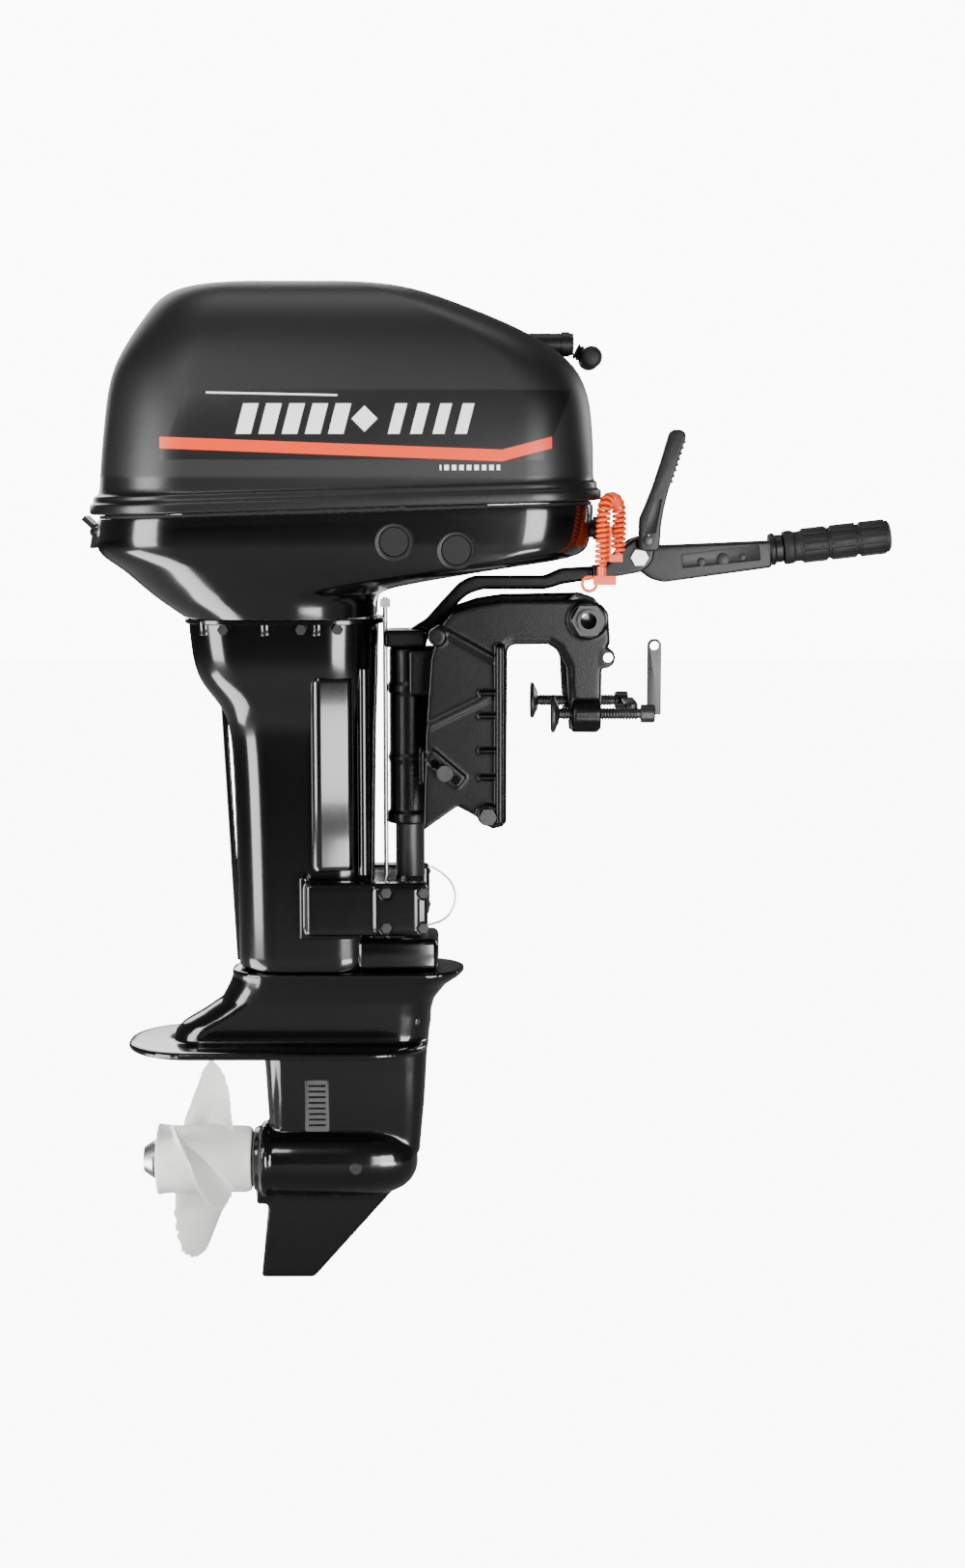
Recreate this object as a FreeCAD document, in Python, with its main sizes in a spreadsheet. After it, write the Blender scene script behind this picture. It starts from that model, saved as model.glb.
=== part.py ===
"""Portable petrol outboard motor with a tiller, built as separate pieces.

Millimetres. +X points into the boat, +Z up, the starboard side is -Y. The origin is the top
aft corner of the boat's transom, where the clamp brackets sit. One function makes each piece.
"""
import FreeCAD
import Part
import Sketcher
import math
import os
import re

# name, value in mm or degrees, what it is
DIMENSIONS = [
    ("tilt_x", 84.0, "tilt pivot ahead of the transom's aft face"),
    ("tilt_z", 19.0, "tilt pivot above the transom's top"),
    ("tube_radius", 11.0, "tilt tube outside"),
    ("tube_bore", 8.0, "tilt tube inside"),
    ("tube_length", 208.0, "tilt tube end to end"),
    ("bracket_mid", 76.0, "middle of each clamp bracket's plate from the middle plane"),
    ("bracket_plate", 16.0, "clamp bracket plate thickness"),
    ("jaw_depth", 47.0, "reach of the hook over the transom"),
    ("screw_z", -75.0, "clamp screw axis"),
    ("screw_radius", 6.0, "clamp screw thread outside"),
    ("running_gap", 0.05, "radial clearance of turning and sliding fits"),
    ("pin_x", -58.0, "tilt pin"),
    ("pin_z", -133.0, "tilt pin"),
    ("pin_radius", 4.5, "tilt pin"),
    ("steer_x", -95.0, "steering axis"),
    ("pilot_radius", 15.0, "pilot shaft"),
    ("pilot_top", -12.5, "pilot shaft under the yoke"),
    ("pilot_foot", -250.0, "pilot shaft's lower end"),
    ("swivel_wall", 6.0, "swivel housing wall round the pilot shaft"),
    ("crank_x", -150.0, "crank and drive shaft axis"),
    ("shaft_radius", 6.0, "drive shaft"),
    ("prop_z", -554.0, "propeller shaft axis"),
    ("prop_shaft_radius", 9.0, "propeller shaft"),
    ("prop_radius", 114.0, "propeller blade tip"),
    ("hub_radius", 35.0, "propeller hub"),
    ("torpedo_radius", 38.5, "gearcase torpedo"),
    ("gear_bore", 31.0, "gear chamber inside the torpedo"),
    ("pinion_pitch", 13.0, "pinion pitch radius"),
    ("wheel_pitch", 27.0, "bevel wheel pitch radius"),
    ("rod_x", -120.0, "shift rod"),
    ("rod_radius", 2.5, "shift rod"),
    ("rim_z", 133.5, "parting line of the cowls over the origin"),
    ("rim_tilt", 1.72, "parting line, degrees nose up"),
    ("cowl_wall", 4.0, "cowl moulding wall"),
    ("cowl_half", 147.0, "half the cowl's width at the rim"),
    ("tiller_x", 139.0, "tiller pivot"),
    ("tiller_z", 79.0, "tiller pivot"),
    ("tiller_rise", 6.5, "tiller above level, degrees"),
    ("tiller_drop", 8.0, "tiller's own line under its pivot"),
    ("grip_radius", 18.0, "throttle grip"),
    ("grip_length", 110.0, "throttle grip"),
    ("grip_start", 150.0, "throttle grip from the tiller pivot"),
    ("stem_radius", 9.0, "tiller tube inside the grip"),
    ("lever_x", 146.0, "shift lever pivot"),
    ("lever_z", 97.0, "shift lever pivot"),
    ("upper_cylinder", 164.0, "upper cylinder axis"),
    ("lower_cylinder", 92.0, "lower cylinder axis"),
    ("bore_radius", 28.0, "cylinder bore"),
    ("crank_throw", 25.0, "half the stroke"),
    ("flywheel_radius", 80.0, "flywheel"),
    ("flywheel_z", 226.0, "flywheel underside"),
    ("cord_radius", 6.0, "curly stop cord, outside of its coil"),
    ("lead_radius", 1.1, "earth lead"),
]

doc = FreeCAD.newDocument("outboard")
sheet = doc.addObject("Spreadsheet::Sheet", "Dims")
for row, (alias, size, meaning) in enumerate(DIMENSIONS, start=1):
    sheet.set(f"A{row}", alias)
    sheet.set(f"B{row}", str(size))
    sheet.set(f"C{row}", meaning)
    sheet.setAlias(f"B{row}", alias)
doc.recompute()

NAMES = {alias for alias, size, meaning in DIMENSIONS}
NODES = []
ALONG = {
    "+X": FreeCAD.Rotation(FreeCAD.Vector(0, 1, 0), 90),
    "-X": FreeCAD.Rotation(FreeCAD.Vector(0, 1, 0), -90),
    "+Y": FreeCAD.Rotation(FreeCAD.Vector(1, 0, 0), -90),
    "-Y": FreeCAD.Rotation(FreeCAD.Vector(1, 0, 0), 90),
    "+Z": FreeCAD.Rotation(),
    "-Z": FreeCAD.Rotation(FreeCAD.Vector(1, 0, 0), 180),
}


def dim(alias):
    """A driving dimension read from the sheet."""
    return float(sheet.get(alias))


def in_sheet(text):
    """The expression with every sheet name given its sheet."""
    return re.sub(r"[a-z_]+", lambda m: "Dims." + m.group(0) if m.group(0) in NAMES else m.group(0), text)


def bind(target, path, size):
    """Set a property to a number, or bind it to an expression of the sheet."""
    if isinstance(size, str):
        target.setExpression(path, in_sheet(size))
    elif not path.startswith("Placement"):
        setattr(target, path, size)


def place(target, at, rotation=None):
    """Put an object at a point whose coordinates are numbers or expressions."""
    start = [0.0 if isinstance(c, str) else c for c in at]
    target.Placement = FreeCAD.Placement(FreeCAD.Vector(*start), rotation or FreeCAD.Rotation())
    for letter, coordinate in zip("xyz", at):
        bind(target, "Placement.Base." + letter, coordinate)
    return target


def box(size, at):
    """A block from its lowest corner."""
    block = doc.addObject("Part::Box", "block")
    for path, length in zip(("Length", "Width", "Height"), size):
        bind(block, path, length)
    return place(block, at)


def rod(radius, length, at, along="+Z"):
    """A round bar that starts at a point and runs one way."""
    bar = doc.addObject("Part::Cylinder", "bar")
    bind(bar, "Radius", radius)
    bind(bar, "Height", length)
    return place(bar, at, ALONG[along])


def cone(radius, end_radius, length, at, along="+Z"):
    """A tapered bar."""
    bar = doc.addObject("Part::Cone", "taper")
    bind(bar, "Radius1", radius)
    bind(bar, "Radius2", end_radius)
    bind(bar, "Height", length)
    return place(bar, at, ALONG[along])


def hexagon(circumradius, length, at, along="+Z"):
    """A hexagonal bar."""
    bar = doc.addObject("Part::Prism", "hexagon")
    bar.Polygon = 6
    bind(bar, "Circumradius", circumradius)
    bind(bar, "Height", length)
    return place(bar, at, ALONG[along])


def fuse(*pieces):
    """One solid from several."""
    joined = doc.addObject("Part::MultiFuse", "joined")
    joined.Shapes = list(pieces)
    joined.Refine = True
    return joined


def cut(base, *tools):
    """A solid with others taken out of it."""
    for tool in tools:
        result = doc.addObject("Part::Cut", "cut")
        result.Base = base
        result.Tool = tool
        result.Refine = True
        base = result
    return base


def group(*pieces):
    """Separate solids kept in one node."""
    together = doc.addObject("Part::Compound", "group")
    together.Links = list(pieces)
    return together


def mirrored(piece):
    """The same piece on the other side of the middle plane."""
    other = doc.addObject("Part::Mirroring", "mirrored")
    other.Source = piece
    other.Normal = (0, 1, 0)
    return other


def from_shape(shape):
    """An object whose shape is worked out in code from the sheet's values."""
    made = doc.addObject("Part::Feature", "shaped")
    made.Shape = shape
    return made


def outline_body(plane, outline):
    """A body with one closed straight-sided sketch on one of its own planes."""
    body = doc.addObject("PartDesign::Body", "body")
    sketch = body.newObject("Sketcher::SketchObject", "sketch")
    planes = {feature.Role: feature for feature in body.Origin.OriginFeatures}
    sketch.AttachmentSupport = [(planes[plane], "")]
    sketch.MapMode = "FlatFace"
    corners = [[float(sheet_value(c)) for c in point] for point in outline]
    for i, (u, v) in enumerate(corners):
        u_next, v_next = corners[(i + 1) % len(corners)]
        start = FreeCAD.Vector(u, v, 0)
        sketch.addGeometry(Part.LineSegment(start, FreeCAD.Vector(u_next, v_next, 0)), False)
    for i in range(len(corners)):
        sketch.addConstraint(Sketcher.Constraint("Coincident", i, 2, (i + 1) % len(corners), 1))
    for i, point in enumerate(outline):
        for kind, axis, coordinate, size in zip(("DistanceX", "DistanceY"), (-2, -1), point, corners[i]):
            if size == 0.0:
                sketch.addConstraint(Sketcher.Constraint("PointOnObject", i, 1, axis))
                continue
            number = sketch.addConstraint(Sketcher.Constraint(kind, -1, 1, i, 1, size))
            if isinstance(coordinate, str):
                sketch.setExpression(f"Constraints[{number}]", in_sheet(coordinate))
    return body, sketch


def sheet_value(coordinate):
    """The number an outline coordinate starts from: a number, a name, or a name and an offset."""
    if not isinstance(coordinate, str):
        return coordinate
    alias, sign, offset = re.match(r"([a-z_]+)([+-]?)([\d.]*)$", coordinate).groups()
    shift = float(offset) if offset else 0.0
    return dim(alias) - shift if sign == "-" else dim(alias) + shift


def plate(outline, width, middle=0.0, plane="XZ_Plane"):
    """A flat piece: a side outline with its thickness shared about its middle."""
    body, sketch = outline_body(plane, outline)
    pad = body.newObject("PartDesign::Pad", "pad")
    pad.Profile = sketch
    pad.SideType = "Symmetric"
    bind(pad, "Length", width)
    at = (0.0, middle, 0.0) if plane == "XZ_Plane" else (0.0, 0.0, middle)
    return place(body, at)


def turned(outline, at, along="+Z"):
    """A turned piece: half its section as (radius, distance along its axis)."""
    body, sketch = outline_body("XZ_Plane", outline)
    turn = body.newObject("PartDesign::Revolution", "turn")
    turn.Profile = sketch
    turn.ReferenceAxis = (sketch, ["V_Axis"])
    turn.Angle = 360
    return place(body, at, ALONG[along])


def ring_wire(rear, front, half, rear_round, front_round, z, tilt=0.0):
    """A level outline with four rounded corners, from its rear and front ends and half its width."""
    corners = [
        (front - front_round, -half + front_round, front_round, -90),
        (front - front_round, half - front_round, front_round, 0),
        (rear + rear_round, half - rear_round, rear_round, 90),
        (rear + rear_round, -half + rear_round, rear_round, 180),
    ]
    arcs = []
    for x, y, radius, begin in corners:
        circle = Part.Circle(FreeCAD.Vector(x, y, z), FreeCAD.Vector(0, 0, 1), radius)
        arcs.append(Part.Arc(circle, math.radians(begin), math.radians(begin + 90)).toShape())
    edges = []
    for i, arc in enumerate(arcs):
        following = arcs[(i + 1) % len(arcs)]
        edges += [arc, Part.makeLine(arc.Vertexes[-1].Point, following.Vertexes[0].Point)]
    wire = Part.Wire(edges)
    wire.rotate(FreeCAD.Vector(0, 0, z), FreeCAD.Vector(0, 1, 0), -tilt)
    return wire


def lofted(rings):
    """A solid through level outlines."""
    return Part.makeLoft([ring_wire(*ring) for ring in rings], True, True)


def tube_path(points):
    """Straight runs joined by tangent arcs, and the arcs' radii."""
    points = [FreeCAD.Vector(*p) for p in points]
    edges = []
    radii = []
    start = points[0]
    for before, corner, after in zip(points, points[1:], points[2:]):
        incoming = (before - corner).normalize()
        outgoing = (after - corner).normalize()
        half_turn = (math.pi - incoming.getAngle(outgoing)) / 2
        shorter = min((before - corner).Length, (after - corner).Length)
        radius = 0.45 * shorter / math.tan(half_turn)
        setback = 0.45 * shorter
        first = corner + incoming * setback
        last = corner + outgoing * setback
        bisector = (incoming + outgoing).normalize()
        middle = corner + bisector * (radius / math.cos(half_turn) - radius)
        edges.append(Part.LineSegment(start, first).toShape())
        edges.append(Part.Arc(first, middle, last).toShape())
        radii.append(round(radius, 1))
        start = last
    edges.append(Part.LineSegment(start, points[-1]).toShape())
    return Part.Wire(edges), radii


def cord(label, points, radius):
    """A flexible cord as one round tube along its route; its volume is compared with its section."""
    path, radii = tube_path(points)
    direction = FreeCAD.Vector(*points[1]) - FreeCAD.Vector(*points[0])
    circle = Part.Wire(Part.makeCircle(radius, FreeCAD.Vector(*points[0]), direction))
    solid = path.makePipeShell([circle], True, False)
    expected = math.pi * radius ** 2 * path.Length
    print(
        f"{label}: length {path.Length:.1f}, bend radii {radii}, volume over expected {solid.Volume / expected:.4f}",
    )
    return from_shape(solid)


def node(label, made):
    """Name a finished piece; the name is its file's name."""
    made.Label = label
    NODES.append(made)
    return made


# ---------------------------------------------------------------- clamp brackets


def clamp_bracket(side):
    """One cast side of the transom clamp: hook, front leg, thrust slot and bosses."""
    middle = f"{side}*bracket_mid"
    outline = [
        (-52, 24), (0, 37), (84, 38), (103, 28), (106, -3), (98, -15), (97, -92), (71, -92), (68, -27),
        (58, -7), ("jaw_depth", 0), (0, 0), (0, -188), (-12, -191), (-16, -184), (-45, -168), (-80, -193),
        (-77, -90), (-72, -20),
    ]
    side_plate = plate(outline, "bracket_plate", middle)
    flange = box((7, 42, 178), (-7, f"{side}*bracket_mid-21", -184))
    tilt_boss = rod(19, 30, ("tilt_x", f"{side}*(bracket_mid-3)-15", "tilt_z"), "+Y")
    screw_boss = rod(15, 28, (70, middle, "screw_z"), "+X")
    solid = fuse(side_plate, flange, tilt_boss, screw_boss)
    if side < 0:
        eye = box((16, 10, 22), (96, f"{side}*bracket_mid-5", -30))
        solid = fuse(solid, eye)
    tools = [
        rod("tube_radius", 80, ("tilt_x", f"{side}*bracket_mid-40", "tilt_z"), "+Y"),
        rod("screw_radius+running_gap", 50, (60, middle, "screw_z"), "+X"),
        rod(5.0, 80, (-15, f"{side}*bracket_mid-40", -177), "+Y"),
    ]
    for step in (-1, 0, 1):
        at = (
            f"pin_x+{10.5 * step}", f"{side}*bracket_mid-40",
            f"pin_z-{8 * step}" if step >= 0 else f"pin_z+{-8 * step}",
        )
        tools.append(rod("pin_radius+running_gap", 80, at, "+Y"))
    if side < 0:
        tools.append(rod(5.0, 80, (105, f"{side}*bracket_mid-40", -19), "+Y"))
    return cut(solid, *tools)


def clamp_pieces():
    """The two brackets and the parts that hold them together."""
    node("clamp_bracket_starboard", clamp_bracket(-1))
    node("clamp_bracket_port", clamp_bracket(1))
    tube = rod("tube_radius", "tube_length", ("tilt_x", "-tube_length/2", "tilt_z"), "+Y")
    bore = rod("tube_bore", "tube_length+2", ("tilt_x", "-tube_length/2-1", "tilt_z"), "+Y")
    node("tilt_tube", cut(tube, bore))
    nuts = []
    for start in (-98.3, 88.3):
        nut = hexagon(17, 10, ("tilt_x", start, "tilt_z"), "+Y")
        nuts.append(cut(nut, rod("tube_radius", 12, ("tilt_x", start - 1, "tilt_z"), "+Y")))
    node("tilt_tube_nuts", group(*nuts))
    shank = rod(5.0, 188, (-15, -94, -177), "+Y")
    heads = [hexagon(9, 6, (-15, start, -177), "+Y") for start in (-97.3, 97.3 - 6)]
    spacer = cut(rod(8.5, 109, (-15, -54.5, -177), "+Y"), rod(4.0, 107, (-15, -53.5, -177), "+Y"))
    node("bracket_tie_bolt", fuse(shank, spacer, *heads))
    pin = rod("pin_radius", 184, ("pin_x", -92, "pin_z"), "+Y")
    head = rod(8.0, 6, ("pin_x", -98, "pin_z"), "+Y")
    node("tilt_pin", fuse(pin, head))


def clamp_screw_set(side, name, pad_x, upright):
    """A clamp pad with its screw and folding handle, at the place the pad stands."""
    middle = f"{side}*bracket_mid"
    pad = turned(
        [(0, 0), (19, 0), (19, 4), (11, 8), (7.5, 8), (7.5, 3), (0, 3)], (pad_x, middle, "screw_z"), "+X",
    )
    node(f"clamp_pad_{name}", pad)
    foot = rod(7.0, 5, (pad_x + 3.3, middle, "screw_z"), "+X")
    thread = rod("screw_radius", 84, (pad_x + 8, middle, "screw_z"), "+X")
    fork = rod(9.5, 14, (pad_x + 90, middle, "screw_z"), "+X")

    def across(radius, length, x, out):
        """A pin through the fork, a distance out along the handle."""
        if upright:
            return rod(radius, length, (x, f"{middle}-{length / 2}", f"screw_z+{out}"), "+Y")
        return rod(radius, length, (x, f"{middle}-{out}", f"screw_z-{length / 2}"), "+Z")

    if upright:
        slot = box((20, 6.6, 30), (pad_x + 91.5, f"{middle}-3.3", "screw_z-15"))
        bar = box((14, 6, 76), (pad_x + 96, f"{middle}-3", "screw_z-1"))
    else:
        slot = box((20, 30, 6.6), (pad_x + 91.5, f"{middle}-15", "screw_z-3.3"))
        bar = box((14, 76, 6), (pad_x + 96, f"{middle}-75", "screw_z-3"))
    node(f"clamp_screw_{name}", cut(fuse(foot, thread, fork), slot, across(2.6, 30, pad_x + 98, 0)))
    root = across(5.5, 6, pad_x + 98, 0)
    pivot = across(2.55, 18, pad_x + 98, 0)
    node(f"clamp_handle_{name}", cut(fuse(bar, root, pivot), across(4.5, 12, pad_x + 103, 68)))


# ---------------------------------------------------------------- swivel and steering


def swivel_pieces():
    """The tilting bracket that carries the steering bearing, and its bushes."""
    outer = "pilot_radius+swivel_wall"
    housing = rod(outer, 182, ("steer_x", 0, -195), "+Z")
    arm = plate(
        [(84, 34), (10, 31), (-28, 17), (-56, -14), (-95, -14), (-95, -60), (-66, -60), (-8, 3), (84, 3)],
        80,
    )
    rib = plate(
        [(-95, -20), (-30, -20), (-9, 3), (-9, -14), (-62, -112), (-63, -150), (-80, -190), (-95, -190)],
        26,
    )
    pad = box((20, 76, 36), (-83, -38, -151))
    boss = rod(18, 113, ("tilt_x", -56.5, "tilt_z"), "+Y")
    solid = cut(
        fuse(housing, arm, rib, pad, boss),
        rod("pilot_radius+running_gap", 200, ("steer_x", 0, -200), "+Z"),
        rod(14, 130, ("tilt_x", -65, "tilt_z"), "+Y"),
        box((32, 52, 40), (20, -26, -2)),
    )
    node("swivel_bracket", solid)
    bushes = []
    for start in (-56.5, 26.5):
        sleeve = rod(14, 30, ("tilt_x", start, "tilt_z"), "+Y")
        hole = rod("tube_radius+running_gap", 34, ("tilt_x", start - 2, "tilt_z"), "+Y")
        bushes.append(cut(sleeve, hole))
    node("pivot_bushes", group(*bushes))


def steering_pieces():
    """Pilot shaft with the steering arm, and the tiller with its grip and shift lever."""
    shaft = rod("pilot_radius", "pilot_top-pilot_foot+2", ("steer_x", 0, "pilot_foot"), "+Z")
    yoke = box((44, 56, 18), (-121, -28, "pilot_top"))
    arm = plate(
        [
            (-104, -12), (-94, 6), (-78, 16), (-62, 34), (-45, 52), (-28, 60), (43, 60), (60, 68),
            (104, 70),
            (104, 58), (60, 51), (43, 46), (-20, 46), (-35, 41), (-52, 24), (-72, 2), (-79, -12),
        ],
        20,
    )
    cheeks = []
    for middle in (-21, 21):
        cheeks.append(
            plate(
                [(92, 57), (140, 64), (153, 76), (155, 100), (138, 100), (122, 90), (104, 71), (92, 70)],
                8, middle,
            ),
        )
    bridge = box((12, 50, 12), (92, -25, 57.5))
    lever_pin = rod(5.0, 24, ("lever_x", -48, "lever_z"), "+Y")
    solid = cut(
        fuse(shaft, yoke, arm, bridge, lever_pin, *cheeks),
        rod(6.0, 80, ("tiller_x", -40, "tiller_z"), "+Y"),
        rod("rod_radius+0.6", 40, ("rod_x", 0, -20), "+Z"),
    )
    node("steering_bracket", solid)
    bolt = rod(5.9, 50, ("tiller_x", -25, "tiller_z"), "+Y")
    heads = [hexagon(9, 6, ("tiller_x", start, "tiller_z"), "+Y") for start in (-31.2, 25.2)]
    node("tiller_bolt", fuse(bolt, *heads))

    lean = FreeCAD.Rotation(FreeCAD.Vector(0, 1, 0), 90 - dim("tiller_rise"))
    lug = rod(13, 32, ("tiller_x", -16, "tiller_z"), "+Y")
    rise = math.tan(math.radians(dim("tiller_rise")))
    level = [(x, dim("tiller_z") + rise * (x - dim("tiller_x"))) for x in (139.0, 275.0)]
    (x_a, z_a), (x_b, z_b) = level
    beam = plate(
        [(x_a, z_a - 12), (x_a, z_a + 12), (165, 91), (x_b, z_b + 1), (x_b, z_b - 26), (165, 53)], 32,
    )
    stem = place(rod("stem_radius", "grip_length+14", (0, 0, 0)), tiller_point(132), lean)
    collar = place(rod(14.5, 14, (0, 0, 0)), tiller_point(134), lean)
    tiller = cut(fuse(lug, beam, stem, collar), rod(5.95, 80, ("tiller_x", -40, "tiller_z"), "+Y"))
    node("tiller_arm", tiller)

    grip = turned(
        [
            ("stem_radius+0.05", 0), ("grip_radius-1", 0), ("grip_radius", 4), ("grip_radius", 106),
            ("grip_radius-3", "grip_length"), (0, "grip_length"), (0, 107), ("stem_radius+0.05", 107),
        ],
        (0, 0, 0),
    )
    node("throttle_grip", place(grip, tiller_point(dim("grip_start")), lean))

    lever = plate(
        [
            (137, 89), (158, 89), (159, 112), (166, 145), (183, 200), (176, 207), (166, 205), (150, 150),
            (137, 118),
        ],
        12, -40,
    )
    hole = rod("5+running_gap", 40, ("lever_x", -60, "lever_z"), "+Y")
    node("shift_lever", cut(lever, hole))


def tiller_point(distance):
    """A point on the tiller's axis, a distance from its pivot."""
    angle = math.radians(dim("tiller_rise"))
    return (
        dim("tiller_x") + distance * math.cos(angle), 0.0,
        dim("tiller_z") - dim("tiller_drop") + distance * math.sin(angle),
    )


# ---------------------------------------------------------------- leg and gearcase


def leg_pieces():
    """Exhaust housing with its mounts, covers and bolts."""
    outside = lofted([
        (-320, -124, 64, 50, 50, 18.2), (-315, -124, 62, 50, 50, -32.0), (-283, -126, 47, 40, 38, -84.0),
        (-273, -131, 44, 40, 38, -240.0), (-273, -133, 44, 40, 38, -346.0),
    ])
    inside = lofted([
        (-312, -132, 56, 44, 44, 19.0), (-307, -132, 54, 44, 44, -32.0), (-275, -132, 40, 34, 34, -84.0),
        (-266, -137, 38, 34, 34, -240.0), (-266, -139, 38, 34, 34, -347.0),
    ])
    foot = box((84, 76, 35), (-150, -38, -346))
    wings = box((84, 100, 50), (-187, -50, -299))
    floor = box((60, 60, 8), (-180, -30, -254))
    solid = fuse(
        cut(from_shape(outside), from_shape(inside)), foot, cut(wings, from_shape(inside)), floor,
    )
    tools = [
        rod("shaft_radius+3", 100, ("crank_x", 0, -330), "+Z"),
        rod(26, 32, ("crank_x", 0, -347), "+Z"),
        rod("rod_radius+0.6", 400, ("rod_x", 0, -350), "+Z"),
        rod("pilot_radius+1.2", 14, ("steer_x", 0, -262), "+Z"),
    ]
    node("exhaust_housing", cut(solid, *tools))

    mounts = []
    for side in (-1, 1):
        mounts.append(box((26, 12, 34), (-148, side * 57 - 6, -291)))
        mounts.append(box((14, 16, 16), (-123 - 14.3, side * 18 - 8, -10.5)))
    node("rubber_mounts", group(mounts[0], mounts[2]))

    cover = cut(
        box((124, 22, 55), (-200, -72.3, -303)),
        box((28, 20, 38), (-149, -63.3, -293)),
        box((130, 13, 60), (-205, -50, -305)),
    )
    bolt_places = [(x, z) for x in (-118, -80) for z in (-258, -294)]
    pockets = [rod(7.5, 12, (x, -80, z), "+Y") for x, z in bolt_places]
    cover = cut(cover, *pockets)
    node("lower_mount_covers", group(cover, mirrored(cover)))
    bolts = []
    for side in (-1, 1):
        for x, z in bolt_places:
            bolts.append(hexagon(5.5, 4, (x, side * 70.1 - 2, z), "+Y"))
    for x in (-280, -202, -165):
        for side in (-1, 1):
            bolts.append(hexagon(5.5, 5, (x, side * 70 - 2.5, 8.5), "+Y"))
    node("housing_bolts", group(*bolts))
    lead = cord(
        "earth_lead",
        [
            (-73, -62, -232), (-58, -70, -238), (-47, -76, -255), (-50, -78, -274), (-62, -76, -287),
            (-76, -73.6, -290),
        ],
        dim("lead_radius"),
    )
    node("earth_lead", lead)


def gearcase_pieces():
    """Gearcase casting with inlet screens, pump and shaft carrier."""
    neck = lofted([
        (-282, -38, 46, 44, 40, -346.5), (-280, -44, 44, 42, 38, -357.0), (-292, -70, 38, 36, 34, -379.0),
        (-338, -73, 36, 34, 34, -407.0), (-345, -77, 34, 32, 32, -430.0),
    ])
    plate_top = lofted([(-390, -77, 75, 70, 60, -424.0), (-390, -77, 75, 70, 60, -432.0)])
    strut = lofted([
        (-250, -78, 25, 24, 24, -428.0), (-248, -79, 24, 23, 23, -450.0), (-243, -85, 18, 17, 17, -540.0),
    ])
    torpedo = turned(
        [
            (0, 0), (30, 0), ("torpedo_radius-4", 4), ("torpedo_radius", 30), ("torpedo_radius", 110),
            ("torpedo_radius-1.5", 135), ("torpedo_radius-9", 158), (14, 170), (0, 173),
        ],
        (-261, 0, "prop_z"), "+X",
    )
    skeg = plate([(-99, -570), (-198, -683), (-255, -683), (-243, -570)], 9)
    tab = box((16, 8, 30), (-259, -4, -603))
    solid = fuse(from_shape(neck), from_shape(plate_top), from_shape(strut), torpedo, skeg, tab)
    tools = [
        rod("shaft_radius+1.5", 210, ("crank_x", 0, -540), "+Z"),
        rod("gear_bore", 144, (-262, 0, "prop_z"), "+X"),
        rod(14, 25, ("crank_x", 0, -540), "+Z"),
        rod("rod_radius+0.6", 200, ("rod_x", 0, -530), "+Z"),
        box((26, 80, 56), (-206, -40, -520)),
    ]
    node("gearcase", cut(solid, *tools))
    screens = []
    for side in (-1, 1):
        screen = box((25.4, 4, 55.4), (-205.7, side * 17 - 2, -519.7))
        slots = [box((18, 6, 2.2), (-202, side * 17 - 3, -514 + 6 * i)) for i in range(8)]
        screens.append(cut(screen, *slots))
    node("inlet_screens", group(*screens))
    pump = turned(
        [
            ("shaft_radius+1.5", 0), (25.5, 0), (25.5, 26), (9, 26), (9, 30), ("shaft_radius+1.5", 30),
            ("shaft_radius+1.5", 22), (22, 22), (22, 4), ("shaft_radius+1.5", 4),
        ],
        ("crank_x", 0, -346),
    )
    node("water_pump_housing", pump)
    carrier = turned(
        [
            ("prop_shaft_radius+0.05", 0), (28, 0), ("gear_bore", 4), ("gear_bore", 44), (14, 50),
            ("prop_shaft_radius+0.05", 50),
        ],
        (-261, 0, "prop_z"), "+X",
    )
    node("prop_shaft_carrier", carrier)


def bevel(pitch, mate, teeth, bore, back):
    """A straight bevel gear about +Z with its apex at the origin and its teeth cut in the pitch cone."""
    face = 0.30
    blank = turned(
        [
            (bore, mate * (1 - face)), (pitch * (1 - face), mate * (1 - face)), (pitch, mate),
            (pitch, mate + 3), (pitch * 0.7, mate + back), (bore, mate + back),
        ],
        (0, 0, 0),
    )
    doc.recompute()
    shape = blank.Shape.copy()
    doc.removeObject(blank.Name)
    length = math.hypot(pitch, mate)
    width = math.pi * pitch / teeth
    for i in range(teeth):
        groove = Part.makeBox(length * 0.5, width * 0.5, 4)
        groove.translate(FreeCAD.Vector(length * 0.62, -width * 0.25, -1.8))
        groove.rotate(
            FreeCAD.Vector(0, 0, 0), FreeCAD.Vector(0, 1, 0), -math.degrees(math.atan2(mate, pitch)),
        )
        groove.rotate(FreeCAD.Vector(0, 0, 0), FreeCAD.Vector(0, 0, 1), 360.0 * i / teeth)
        shape = shape.cut(groove)
    return shape


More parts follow.
